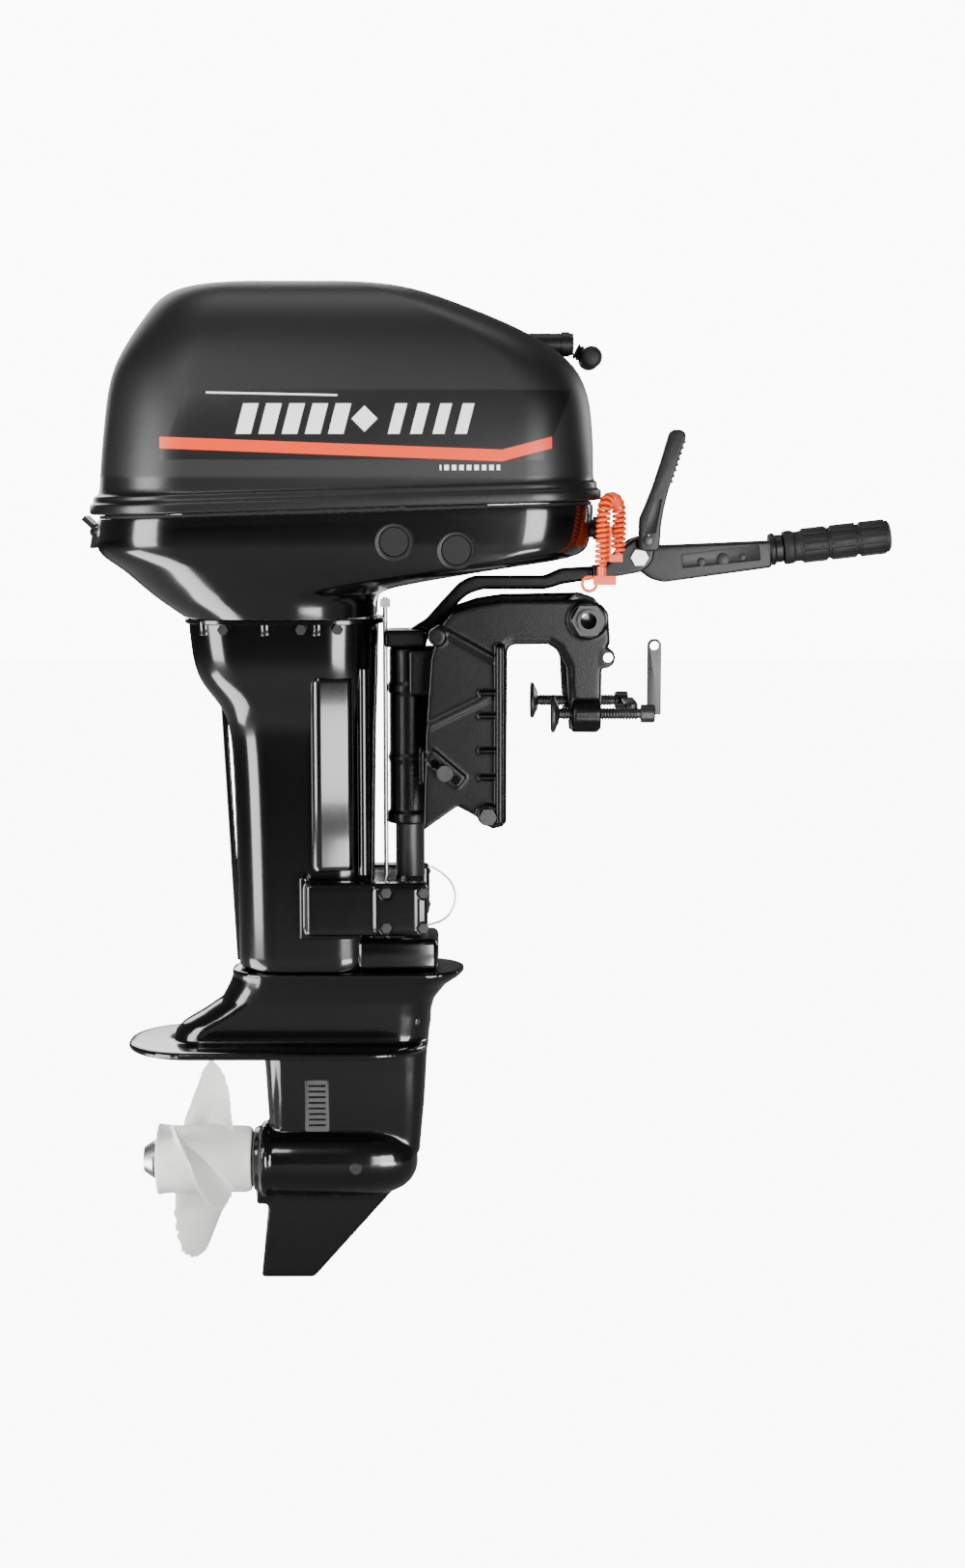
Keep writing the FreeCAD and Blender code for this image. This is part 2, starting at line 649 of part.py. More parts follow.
def drive_pieces():
    """Drive shaft, bevel gears, clutch, propeller shaft, propeller and nut."""
    pinion_mate = dim("wheel_pitch")
    wheel_mate = dim("pinion_pitch")
    centre = FreeCAD.Vector(dim("crank_x"), 0, dim("prop_z"))
    gap = 0.4
    pinion = from_shape(bevel(dim("pinion_pitch"), pinion_mate, 13, dim("shaft_radius"), 8))
    pinion.Placement = FreeCAD.Placement(centre + FreeCAD.Vector(0, 0, gap), FreeCAD.Rotation())
    node("pinion_gear", pinion)
    wheel = bevel(dim("wheel_pitch"), wheel_mate, 27, dim("prop_shaft_radius") + dim("running_gap"), 16)
    forward = from_shape(wheel)
    forward.Placement = FreeCAD.Placement(centre + FreeCAD.Vector(gap, 0, 0), ALONG["+X"])
    node("forward_gear", forward)
    reverse = from_shape(wheel)
    reverse.Placement = FreeCAD.Placement(centre - FreeCAD.Vector(gap, 0, 0), ALONG["-X"])
    node("reverse_gear", reverse)
    dog = turned(
        [("prop_shaft_radius+0.05", -4), (16, -4), (16, 4), ("prop_shaft_radius+0.05", 4)],
        ("crank_x", 0, "prop_z"), "+X",
    )
    node("clutch_dog", dog)

    node("prop_shaft", rod("prop_shaft_radius", 254, (-374, 0, "prop_z"), "+X"))
    nut = turned(
        [("prop_shaft_radius", 0), (20, 0), (20, 4), (13, 14), ("prop_shaft_radius", 14)],
        (-362.4, 0, "prop_z"), "-X",
    )
    node("prop_nut", nut)
    hub = turned(
        [
            ("prop_shaft_radius", 0), (33, 0), ("hub_radius", 5), ("hub_radius", 80),
            ("hub_radius+2", 99), ("hub_radius-3", 99),
            ("hub_radius-5", 60), (14, 60), (14, 98), ("prop_shaft_radius", 98),
        ],
        (-262.5, 0, "prop_z"), "-X",
    )
    blades = []
    for turn in (35.0, 155.0, 275.0):
        blade = blade_shape()
        blade.rotate(FreeCAD.Vector(0, 0, 0), FreeCAD.Vector(1, 0, 0), -turn)
        blade.translate(FreeCAD.Vector(-312, 0, dim("prop_z")))
        blades.append(from_shape(blade))
    node("propeller", fuse(hub, *blades))


def blade_shape():
    """One right-hand blade standing up from the propeller axis, lofted through its sections."""
    pitch = 250.0
    tip = dim("prop_radius")
    sections = []
    for radius, chord, thick, skew in (
        (24.0, 60, 7.0, 0), (60.0, 92, 5.6, 3), (88.0, 92, 4.4, 8), (105.0, 66, 3.4, 12),
        (tip - 1.2, 26, 2.4, 16),
    ):
        lean = math.atan2(pitch, 2 * math.pi * radius)
        half = chord / 2.0
        across = [
            (-half, 0), (-half * 0.3, thick / 2), (half * 0.6, thick / 3), (half, 0),
            (half * 0.6, -thick / 3), (-half * 0.3, -thick / 2),
        ]
        points = []
        for along, off in across:
            x = along * math.sin(lean) + off * math.cos(lean)
            y = along * math.cos(lean) - off * math.sin(lean) + skew
            points.append(FreeCAD.Vector(-x - skew * 0.4, y, radius))
        sections.append(Part.makePolygon(points + [points[0]]))
    return Part.makeLoft(sections, True, True)


# ---------------------------------------------------------------- powerhead


def powerhead_pieces():
    """Engine block with crank, pistons, head, carburettor, ignition and starter."""
    block = fuse(
        box((116, 108, 156), (-208, -54, 60)),
        box((176, 100, 44), (-314, -50, 18.5)),
        box((90, 96, 142), (-296, -48, 58)),
    )
    cylinders = [
        rod("bore_radius", 110, (-190, 0, z), "-X") for z in ("upper_cylinder", "lower_cylinder")
    ]
    chambers = [
        rod(40, 60, ("crank_x", 0, f"{z}-30"), "+Z") for z in ("upper_cylinder", "lower_cylinder")
    ]
    chambers.append(rod(12.05, 240, ("crank_x", 0, 0), "+Z"))
    exhaust = box((40, 24, 46), (-270, -12, 18))
    node("engine_block", cut(block, *cylinders, *chambers, exhaust))
    head = box((26, 92, 136), (-322.3, -46, 63))
    holes = [rod(7, 40, (-325, 0, z), "+X") for z in ("upper_cylinder", "lower_cylinder")]
    node("cylinder_head", cut(head, *holes))
    plugs = []
    for z in ("upper_cylinder", "lower_cylinder"):
        plugs.append(
            fuse(
                rod(7, 28, (-330, 0, z), "+X"), hexagon(11, 8, (-333, 0, z), "+X"),
                rod(6, 22, (-354, 0, z), "+X"),
            ),
        )
    node("spark_plugs", group(*plugs))
    pistons = []
    rods = []
    for z, crown in (("upper_cylinder", -288.0), ("lower_cylinder", -262.0)):
        piston = cut(
            rod("bore_radius-0.15", 44, (crown, 0, z), "+X"), rod(20, 40, (crown + 6, 0, z), "+X"),
        )
        wrist = rod(7, 46, (crown + 20, -23, z), "+Y")
        pistons.append(fuse(piston, wrist))
        eye = rod(10, 14, (crown + 20, -7, z), "+Y")
        length = -190.0 - (crown + 20)
        shank = box((length, 9, 14), (crown + 20, -4.5, f"{z}-7"))
        rods.append(cut(fuse(eye, shank), rod(7.05, 30, (crown + 20, -15, z), "+Y")))
    node("pistons", group(*pistons))
    node("connecting_rods", group(*rods))

    journal = rod(12, 208, ("crank_x", 0, 18), "+Z")
    solids = [journal]
    cuts = []
    for z, side in (("upper_cylinder", -1), ("lower_cylinder", 1)):
        cuts.append(rod(13, 24, ("crank_x", 0, f"{z}-12"), "+Z"))
    journal = cut(journal, *cuts)
    solids = [journal]
    for z, side in (("upper_cylinder", -1), ("lower_cylinder", 1)):
        solids.append(
            rod(
                10, 26,
                (f"crank_x+{side}*crank_throw" if side > 0 else "crank_x-crank_throw", 0, f"{z}-13"),
                "+Z",
            ),
        )
        for base in (-24, 12):
            solids.append(
                rod(36, 12, ("crank_x", 0, f"{z}+{base}" if base > 0 else f"{z}-{-base}"), "+Z"),
            )
    node("crankshaft", fuse(*solids))

    wheel = turned(
        [
            (0, 0), (20, 0), (24, 8), (60, 8), (60, 0), ("flywheel_radius", 0), ("flywheel_radius", 30),
            ("flywheel_radius-8", 30), (60, 14), (14, 14), (14, 24), (0, 24),
        ],
        ("crank_x", 0, "flywheel_z"),
    )
    node("flywheel", wheel)
    shaft = rod("shaft_radius", 542, ("crank_x", 0, -524.3), "+Z")
    node("drive_shaft", shaft)
    impeller = [rod(10, 15, ("crank_x", 0, -340), "+Z")]
    for i in range(6):
        vane = box((21, 2.4, 15), (0, 0, 0))
        vane.Placement = FreeCAD.Placement(
            FreeCAD.Vector(dim("crank_x"), 0, -340), FreeCAD.Rotation(60.0 * i, 0, 0),
        )
        impeller.append(vane)
    node("pump_impeller", cut(fuse(*impeller), rod("shaft_radius", 20, ("crank_x", 0, -342), "+Z")))

    carb = fuse(
        box((40, 50, 56), (-83, -25, 98)), rod(22, 34, (-62, 0, 74), "+Z"),
        rod(19, 30, (-45, 0, 126), "+X"), box((8, 60, 70), (-91.7, -30, 91)),
    )
    node("carburetor", cut(carb, rod(13, 90, (-95, 0, 126), "+X")))
    ignition = fuse(
        box((90, 26, 60), (-250, 58, 110)), rod(16, 60, (-170, 76, 100), "+Z"),
        box((90, 12, 12), (-250, 54.3, 104)),
    )
    node("ignition_unit", ignition)

    cap = turned(
        [(70, 0), (90, 0), (90, 26), (70, 42), (0, 42), (0, 38), (68, 38), (86, 24), (86, 4), (70, 4)],
        ("crank_x", 0, 258),
    )
    guide = cut(
        fuse(rod(11, 134, (-62, 0, 293.5), "+X"), rod(12.5, 8, (60, 0, 293.5), "+X")),
        rod(4, 150, (-70, 0, 293.5), "+X"),
    )
    legs = [box((10, 12, 62), ("crank_x-5", side * 92 - 6, 202)) for side in (-1, 1)]
    feet = [box((20, 43.7, 6), ("crank_x-10", side * 76.15 - 21.85, 202)) for side in (-1, 1)]
    node("starter_housing", cut(fuse(cap, guide, *legs, *feet), rod(4, 150, (-70, 0, 293.5), "+X")))
    reel = turned(
        [(6, 0), (58, 0), (58, 3), (45, 5), (45, 11), (58, 13), (58, 16), (6, 16)], ("crank_x", 0, 276),
    )
    node("starter_reel", reel)
    handle = fuse(rod(11, 76, (89, -38, 279.5), "+Y"), rod(8, 18, (74, 0, 287), "+X"))
    node("starter_handle", handle)


# ---------------------------------------------------------------- cowls and controls


def cowl_rings(inset):
    """Outlines of the top cowl from its rim to its crown, moved in by a wall."""
    half = dim("cowl_half")
    rings = []
    for rear, front, width, round_rear, round_front, z in (
        (-402, 89, half, 95, 70, 153.0), (-396, 88, half - 2, 95, 70, 204.0),
        (-391, 84, half - 6, 93, 68, 243.0), (-383, 68, half - 12, 90, 64, 276.0),
        (-369, 18, half - 19, 84, 60, 304.0), (-347, -52, half - 36, 76, 56, 334.0),
        (-327, -88, half - 56, 64, 50, 346.0), (-290, -128, half - 95, 46, 40, 355.0),
    ):
        rings.append(
            (rear + inset, front - inset, width - inset, round_rear - inset, round_front - inset, z),
        )
    return rings


def cowl_pieces():
    """Top and bottom cowls, their seal, plugs and latch."""
    half = dim("cowl_half")
    wall = dim("cowl_wall")
    rim = dim("rim_z")
    tilt = dim("rim_tilt")
    base_rings = [
        (-404, 89, half, 96, 70, rim + 0.5, tilt), (-413, 97, half + 4, 100, 74, rim + 6.0, tilt),
        (-411, 97, half + 4, 100, 74, rim + 19.0, tilt), (-402, 90, half, 95, 70, rim + 22.0, tilt),
    ]
    outer = lofted(base_rings).fuse(lofted([base_rings[-1]] + cowl_rings(0.0)[1:]))
    rings = cowl_rings(wall)
    rings[0] = (-402 + wall, 89 - wall, half - wall, 95 - wall, 70 - wall, rim + 0.4, tilt)
    top = list(rings[-1])
    top[5] -= wall
    inner = lofted(rings[:-2] + [tuple(list(rings[-2][:5]) + [rings[-2][5] - wall]), tuple(top)])
    opening = box((116, 82, 56), (0, -41, 258))
    node("top_cowl", cut(from_shape(outer), from_shape(inner), opening))

    bottom_rings = [
        (-404, 89, half, 96, 70, rim - 3.2, tilt), (-408, 85, half - 2, 96, 70, 95.0, 0.0),
        (-403, 79, half - 6, 94, 68, 82.0, 0.0), (-378, -22, half - 14, 92, 84, 66.0, 0.0),
        (-360, -128, half - 24, 88, 90, 47.0, 0.0),
        (-322, -128, half - 34, 80, 88, 20.0, 0.0),
    ]
    outer = lofted(bottom_rings)
    inner_rings = []
    for i, ring in enumerate(bottom_rings):
        rear, front, width, round_rear, round_front, z, lean = ring
        lift = 0.1 if i == 0 else wall
        inner_rings.append(
            (
                rear + wall, front - wall, width - wall, round_rear - wall, round_front - wall, z + lift,
                lean,
            ),
        )
    inner = lofted(inner_rings)
    tools = [
        box((186, 120, 20), (-318, -60, 12)),
        rod(4, 200, ("rod_x", 0, 0), "+Z"),
        rod(14, 20, (-106, -150, 98), "+Y"),
        rod(14, 20, (-46, -150, 90), "+Y"),
        rod(7, 24, (70, -59, 107), "+X"),
        rod(9, 24, (70, 62, 107), "+X"),
    ]
    node("bottom_cowl", cut(from_shape(outer), from_shape(inner), *tools))
    low = rim - 2.7
    high = rim + 0.1
    outside = lofted([(-402.6, 87.4, half - 1.2, 94, 69, z, tilt) for z in (low, high)])
    inside = lofted([(-400.4, 85.2, half - 3.4, 92, 67, z, tilt) for z in (low - 1, high + 1)])
    node("cowl_seal", cut(from_shape(outside), from_shape(inside)))
    plugs = [rod(13.7, 6, (x, -147.5, z), "+Y") for x, z in ((-106, 98), (-46, 90))]
    node("cowl_plugs", group(*plugs))

    hook = fuse(
        rod(5, 40, (-413.5, -20, 105), "+Y"),
        plate([(-417, 108), (-427, 117), (-424, 121), (-414, 112)], 36),
        plate([(-417, 105), (-420, 88), (-415, 88), (-411, 105)], 24),
    )
    node("cowl_latch", cut(hook, rod(2.5, 60, (-413.5, -30, 105), "+Y")))


def control_pieces():
    """Stop switch with its button and cord, fuel connector and shift rod."""
    body = cut(
        fuse(rod(6.9, 34, (66, -59, 107), "+X"), rod(10, 8, (96.2, -59, 107), "+X")),
        rod(4.05, 40, (86, -59, 107), "+X"),
    )
    node("stop_switch", body)
    button = fuse(rod(4, 20, (92, -59, 107), "+X"), rod(7, 4, (110, -59, 107), "+X"))
    node("stop_button", button)
    fitting = fuse(
        rod(8.9, 30, (66, 62, 107), "+X"), rod(12, 6, (96.2, 62, 107), "+X"),
        rod(5, 10, (102, 62, 107), "+X"),
    )
    node("fuel_connector", cut(fitting, rod(2.5, 60, (60, 62, 107), "+X")))
    link = fuse(rod("rod_radius", 556, ("rod_x", 0, -518), "+Z"), box((10, 16, 8), ("rod_x-5", -8, 28)))
    node("shift_rod", link)

    route = [
        (113, -92, 86), (115, -91, 110), (113, -93, 139), (98, -113, 138), (97, -115, 106),
        (96, -113, 73.2),
    ]
    node("kill_cord", cord("kill_cord", route, dim("cord_radius")))
    plug = fuse(box((22, 8, 9), (88, -117, 55)), rod(4.5, 11.3, (96, -113, 61.5), "+Z"))
    ring = Part.makeTorus(7, 1.6, FreeCAD.Vector(84, -113, 56), FreeCAD.Vector(0, 1, 0))
    lock_plate = cut(
        fuse(
            box((2.2, 46, 35), (104.4, -97, 77)), box((13, 10, 7), (104.4, -97, 77)),
            rod(4.5, 8.8, (113, -92, 77), "+Z"),
        ),
        rod(4.6, 10, (100, -59, 107), "+X"),
        box((10, 9.2, 40), (100, -63.6, 67)),
    )
    node("lanyard_clip", group(fuse(plug, from_shape(ring)), lock_plate))


clamp_pieces()
clamp_screw_set(-1, "starboard", 48.0, True)
clamp_screw_set(1, "port", 31.0, False)
swivel_pieces()
steering_pieces()
leg_pieces()
gearcase_pieces()
drive_pieces()
powerhead_pieces()
cowl_pieces()
control_pieces()
doc.recompute()

bad = [o.Label for o in doc.Objects if set(o.State) & {"Invalid", "Error"}]
bad += [o.Label for o in NODES if o.Shape.isNull() or not o.Shape.isValid()]
if bad:
    raise RuntimeError(f"pieces that did not build: {bad}")
os.makedirs("parts", exist_ok=True)
for piece in NODES:
    piece.Shape.exportStep(f"parts/{piece.Label}.step")
print(len(NODES), "pieces written")
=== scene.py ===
import math

import bmesh
import bpy
from bpy.props import FloatProperty, FloatVectorProperty, IntProperty, PointerProperty
from mathutils import Matrix, Vector


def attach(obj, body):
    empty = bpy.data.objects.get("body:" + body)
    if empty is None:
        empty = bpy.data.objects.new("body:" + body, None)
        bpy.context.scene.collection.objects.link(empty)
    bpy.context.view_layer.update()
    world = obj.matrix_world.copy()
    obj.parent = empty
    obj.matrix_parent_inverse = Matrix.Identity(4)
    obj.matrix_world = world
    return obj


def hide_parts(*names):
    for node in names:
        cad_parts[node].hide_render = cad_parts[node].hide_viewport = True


bl_info = {
    "name": "Outboard motor",
    "version": (1, 0, 0),
    "blender": (4, 5, 0),
    "location": "3D View > Sidebar > Outboard",
    "description": "Builds the visible pieces of a portable outboard motor round its packed frame",
    "category": "Add Mesh",
}

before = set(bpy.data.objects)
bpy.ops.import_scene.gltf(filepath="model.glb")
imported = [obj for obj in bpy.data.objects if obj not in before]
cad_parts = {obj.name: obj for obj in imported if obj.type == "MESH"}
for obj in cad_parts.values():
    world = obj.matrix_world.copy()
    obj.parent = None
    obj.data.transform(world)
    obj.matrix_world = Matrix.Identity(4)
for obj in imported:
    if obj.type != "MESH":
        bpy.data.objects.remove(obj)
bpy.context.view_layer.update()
MM = 0.001

# Places that several pieces share, in millimetres from the transom's top aft corner.
BRACKET_MIDDLE = 76.0
SCREW_HEIGHT = -75.0
STEERING_X = -95.0
TILT_X, TILT_Z = 84.0, 19.0
TIE_BOLT_X, TIE_BOLT_Z = -15.0, -177.0
PROPELLER_Z = -554.0
FLOOR_Z = -684.0
TILLER_X, TILLER_Z = 139.0, 71.0
TILLER_BOLT_Z = 79.0
LEVER_X, LEVER_Z = 146.0, 97.0
PORTHOLES = ((-106, 98), (-46, 90))

# The lean of the cowl's rim in degrees, and the thickness of the earth lead in metres.
RIM_TILT = 1.72
EARTH_WIRE = 2.2 * MM

# Glow of the floor and the sky where they are looked at, and what the sky gives as light.
FLOOR_SEEN = 10.0
SKY_SEEN = 11.0
SKY_LIGHT = 0.09

# Sockets of a colour Mix node.
MIX_FACTOR, MIX_FIRST, MIX_SECOND, MIX_COLOUR = 0, 6, 7, 2


# ---------------------------------------------------------------- shader arithmetic


class Wire:
    """A shader socket that takes part in Python arithmetic."""

    def __init__(self, graph, socket):
        self.graph = graph
        self.socket = socket

    def math(self, operation, *others):
        """A maths node with this wire as its first input."""
        return self.graph.node("ShaderNodeMath", {"operation": operation}, [self, *others])

    def __add__(self, other):
        return self.math("ADD", other)

    __radd__ = __add__

    def __mul__(self, other):
        return self.math("MULTIPLY", other)

    __rmul__ = __mul__

    def __sub__(self, other):
        return self.math("SUBTRACT", other)

    def __rsub__(self, other):
        return self.graph.node("ShaderNodeMath", {"operation": "SUBTRACT"}, [other, self])

    def __abs__(self):
        return self.math("ABSOLUTE")

    def clamped(self):
        """The value held between 0 and 1."""
        return self.math("MINIMUM", 1.0).math("MAXIMUM", 0.0)

    def above(self, edge, soft=0.0004):
        """1 where the value is over the edge, with a soft step."""
        return ((self - edge) * (1.0 / soft) + 0.5).clamped()

    def below(self, edge, soft=0.0004):
        """1 where the value is under the edge, with a soft step."""
        return 1.0 - self.above(edge, soft)


class Graph:
    """A node tree that is filled one node at a time."""

    def __init__(self, tree):
        self.tree = tree

    def node(self, kind, settings, sockets, output=0):
        """A node with its settings, its input values or links, and one of its outputs as a wire."""
        made = self.tree.nodes.new(kind)
        for key, value in settings.items():
            setattr(made, key, value)
        pairs = sockets.items() if isinstance(sockets, dict) else enumerate(sockets)
        for key, value in pairs:
            if isinstance(value, Wire):
                self.tree.links.new(value.socket, made.inputs[key])
            else:
                made.inputs[key].default_value = value
        return Wire(self, made.outputs[output])

    def seen_directly(self):
        """1 where a surface or the sky is looked at straight, 0 in its light and reflections."""
        return self.node("ShaderNodeLightPath", {}, {}, "Is Camera Ray")


class Paint(Graph):
    """A material made of nodes round one principled shader."""

    def __init__(self, name, **constants):
        self.material = bpy.data.materials.new(name)
        self.material.use_nodes = True
        super().__init__(self.material.node_tree)
        self.shader = self.tree.nodes["Principled BSDF"]
        for key, value in constants.items():
            self.shader.inputs[key.replace("_", " ")].default_value = value

    def place(self):
        """Object coordinates in metres."""
        return self.node("ShaderNodeTexCoord", {}, {}, "Object")

    def axes(self):
        """The object coordinates as three wires."""
        place = self.place()
        return [self.node("ShaderNodeSeparateXYZ", {}, [place], axis) for axis in "XYZ"]

    def noise(self, scale, detail=3.0, roughness=0.55):
        """Cloudy noise over the object, 0 to 1."""
        sockets = {"Vector": self.place(), "Scale": scale, "Detail": detail, "Roughness": roughness}
        return self.node("ShaderNodeTexNoise", {}, sockets, "Fac")

    def blend(self, factor, first, second):
        """One colour where the factor is 0 and another where it is 1."""
        colours = [value if isinstance(value, Wire) else (*value[:3], 1.0) for value in (first, second)]
        sockets = {MIX_FACTOR: factor, MIX_FIRST: colours[0], MIX_SECOND: colours[1]}
        return self.node("ShaderNodeMix", {"data_type": "RGBA"}, sockets, MIX_COLOUR)

    def feed(self, name, wire):
        """Link a wire to an input of the shader."""
        self.tree.links.new(wire.socket, self.shader.inputs[name])

    def glow_seen(self, strength):
        """A white glow laid over the shader where the surface is looked at straight."""
        glow = self.node("ShaderNodeEmission", {}, {"Strength": strength}, "Emission")
        body = Wire(self, self.shader.outputs["BSDF"])
        mixed = self.node("ShaderNodeMixShader", {}, [self.seen_directly(), body, glow], "Shader")
        self.tree.links.new(mixed.socket, self.tree.nodes["Material Output"].inputs["Surface"])

    def relief(self, height, strength, distance=0.001):
        """Bump from a height."""
        bump = self.node(
            "ShaderNodeBump", {}, {"Strength": strength, "Distance": distance, "Height": height}, "Normal",
        )
        self.feed("Normal", bump)


def surface(name, colour, roughness, mottle=0.12, spread=0.08, grain=900.0, relief=0.1, **constants):
    """A general finish: colour clouds, uneven gloss and a fine grain."""
    paint = Paint(name, **constants)
    clouds = paint.noise(14.0, 5.0)
    fine = paint.noise(grain, 2.0)
    dark = [c * (1.0 - mottle) for c in colour[:3]]
    light = [min(1.0, c * (1.0 + mottle)) for c in colour[:3]]
    paint.feed("Base Color", paint.blend(clouds, dark, light))
    paint.feed("Roughness", clouds * spread + fine * (spread * 0.5) + (roughness - spread * 0.75))
    paint.relief(fine, relief, 0.0003)
    return paint


FINISHES = {}


def finish(name):
    """The named material."""
    return FINISHES[name].material


# ---------------------------------------------------------------- mesh helpers


def mesh_object(name, bm):
    """An object from a mesh drawn in millimetres."""
    bmesh.ops.scale(bm, vec=(MM, MM, MM), verts=bm.verts)
    bmesh.ops.remove_doubles(bm, verts=bm.verts, dist=1e-6)
    bmesh.ops.recalc_face_normals(bm, faces=bm.faces)
    mesh = bpy.data.meshes.new(name)
    bm.to_mesh(mesh)
    bm.free()
    made = bpy.data.objects.new(name, mesh)
    bpy.context.scene.collection.objects.link(made)
    return made


SMOOTHED = ("SUBSURF", {"levels": 1, "render_levels": 1})


def settle(made, *modifiers):
    """Apply modifiers, each a type and its settings, to the object's mesh."""
    for kind, settings in modifiers:
        modifier = made.modifiers.new(kind.lower(), kind)
        for key, value in settings.items():
            setattr(modifier, key, value)
    bpy.context.view_layer.update()
    evaluated = made.evaluated_get(bpy.context.evaluated_depsgraph_get())
    mesh = bpy.data.meshes.new_from_object(evaluated)
    made.modifiers.clear()
    made.data = mesh
    return made


def carve(made, bm):
    """Take the closed shapes of a mesh drawn in millimetres out of an object."""
    tool = mesh_object("tool", bm)
    settle(made, ("BOOLEAN", {"operation": "DIFFERENCE", "object": tool, "solver": "EXACT"}))
    bpy.data.objects.remove(tool)
    return made


def cast(made, voxel, rounds=6, factor=0.5):
    """Melt overlapping closed shapes into one casting with soft inner corners."""
    return settle(
        made,
        ("REMESH", {"mode": "VOXEL", "voxel_size": voxel * MM}),
        ("SMOOTH", {"factor": factor, "iterations": rounds}),
    )


def dress(made, material, body, *nodes, angle=40.0):
    """Give a piece its material, its body, the CAD nodes it stands for and its shading."""
    made.data.materials.clear()
    made.data.materials.append(finish(material))
    for face in made.data.polygons:
        face.use_smooth = True
    made.data.set_sharp_from_angle(angle=math.radians(angle))
    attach(made, body)
    if nodes:
        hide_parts(*nodes)
    return made


def soften(bm, edges, width, segments):
    """Round the edges of a shape."""
    return bmesh.ops.bevel(
        bm, geom=edges, offset=width, offset_type="OFFSET", segments=segments, profile=0.5,
        affect="EDGES", material=-1, clamp_overlap=True,
    )


def edges_of(verts):
    """The edges that meet at some vertices."""
    return list({edge for vert in verts for edge in vert.link_edges})


def rounded_ring(bm, rear, front, half, rear_round, front_round, z, tilt=0.0, count=96):
    """A closed level ring with four rounded corners, evenly walked; returns its edges."""
    made = bmesh.ops.create_circle(bm, segments=count, radius=1.0)
    corners = (
        (front - front_round, half - front_round, front_round),
        (rear + rear_round, half - rear_round, rear_round),
        (rear + rear_round, -half + rear_round, rear_round),
        (front - front_round, -half + front_round, front_round),
    )
    for vert in made["verts"]:
        turn = math.atan2(vert.co.y, vert.co.x) % math.tau
        corner = int(turn // (math.pi / 2)) % 4
        x, y, radius = corners[corner]
        share = (turn - corner * math.pi / 2) / (math.pi / 2)
        angle = corner * math.pi / 2 + math.pi / 2 * min(1.0, max(0.0, (share - 0.12) / 0.76))
        vert.co = (x + radius * math.cos(angle), y + radius * math.sin(angle), 0.0)
    lean = math.tan(math.radians(tilt))
    for vert in made["verts"]:
        vert.co.z = z + vert.co.x * lean
    return edges_of(made["verts"])


def skin(bm, rings, caps=(True, True)):
    """Join successive rings of edges into a wall, with ends closed."""
    for lower, upper in zip(rings, rings[1:]):
        bmesh.ops.bridge_loops(bm, edges=lower + upper)
    for ring, wanted in zip((rings[0], rings[-1]), caps):
        if wanted:
            bmesh.ops.contextual_create(bm, geom=ring)


def slab(bm, outline, low, high, bevel=0.0, segments=3):
    """A plate from a side outline of (x, z) points between two widths, with rounded edges."""
    verts = [bm.verts.new((x, low, z)) for x, z in outline]
    face = bm.faces.new(verts)
    grown = bmesh.ops.extrude_face_region(bm, geom=[face])
    moved = [v for v in grown["geom"] if isinstance(v, bmesh.types.BMVert)]
    bmesh.ops.translate(bm, verts=moved, vec=(0.0, high - low, 0.0))
    if bevel:
        soften(bm, edges_of(verts + moved), bevel, segments)


def block(bm, low, high, bevel=0.0, segments=3):
    """A box between two corners with rounded edges."""
    size = [b - a for a, b in zip(low, high)]
    middle = [(a + b) / 2 for a, b in zip(low, high)]
    matrix = Matrix.Translation(middle) @ Matrix.Diagonal((*size, 1.0))
    made = bmesh.ops.create_cube(bm, size=1.0, matrix=matrix)
    if bevel:
        soften(bm, edges_of(made["verts"]), bevel, segments)


def turn_matrix(at, along):
    """Moves +Z to a direction and the origin to a point."""
    return Matrix.Translation(at) @ Vector(along).to_track_quat("Z", "Y").to_matrix().to_4x4()


def bar(bm, radius, length, at, along=(0, 0, 1), end_radius=None, sides=32, bevel=0.0):
    """A round or many-sided bar from a point along a direction."""
    matrix = turn_matrix(at, along) @ Matrix.Translation((0, 0, length / 2))
    top = radius if end_radius is None else end_radius
    made = bmesh.ops.create_cone(
        bm, cap_ends=True, segments=sides, radius1=radius, radius2=top, depth=length, matrix=matrix,
    )
    if bevel:
        soften(bm, [edge for edge in edges_of(made["verts"]) if edge.calc_face_angle(0.0) > 0.6], bevel, 2)


def lathe(bm, profile, at, along=(0, 0, 1), steps=48):
    """A turned shape from half its section as (radius, distance) points."""
    verts = [bm.verts.new((radius, 0.0, distance)) for radius, distance in profile]
    edges = [bm.edges.new(pair) for pair in zip(verts, verts[1:])]
    bmesh.ops.spin(
        bm, geom=verts + edges, cent=(0, 0, 0), axis=(0, 0, 1), dvec=(0, 0, 0), angle=math.tau,
        steps=steps, use_merge=True, use_duplicate=False,
    )
    seen = set(verts)
    todo = list(verts)
    while todo:
        for edge in todo.pop().link_edges:
            for vert in edge.verts:
                if vert not in seen:
                    seen.add(vert)
                    todo.append(vert)
    bmesh.ops.remove_doubles(bm, verts=list(seen), dist=1e-4)
    alive = [v for v in seen if v.is_valid]
    bmesh.ops.transform(bm, matrix=turn_matrix(at, along), verts=alive)


def plates(bm, outline, middles, half, bevel, segments=3):
    """The same plate at several places across the motor."""
    for middle in middles:
        slab(bm, outline, middle - half, middle + half, bevel, segments)


def side_block(bm, side, low, high, bevel, segments=3):
    """A box on one side, from corners whose y is counted outwards from the middle."""
    near, far = sorted((side * low[1], side * high[1]))
    block(bm, (low[0], near, low[2]), (high[0], far, high[2]), bevel, segments)


def hex_bolt(bm, at, along, across=5.5, height=4.0):
    """A hexagon head on a thin washer."""
    bar(bm, across * 1.35, 1.0, at, along, sides=24)
    base = Vector(at) + Vector(along) * 1.0
    bar(bm, across, height - 1.0, base, along, sides=6, bevel=0.5)


# ---------------------------------------------------------------- sizes and colours a user may change


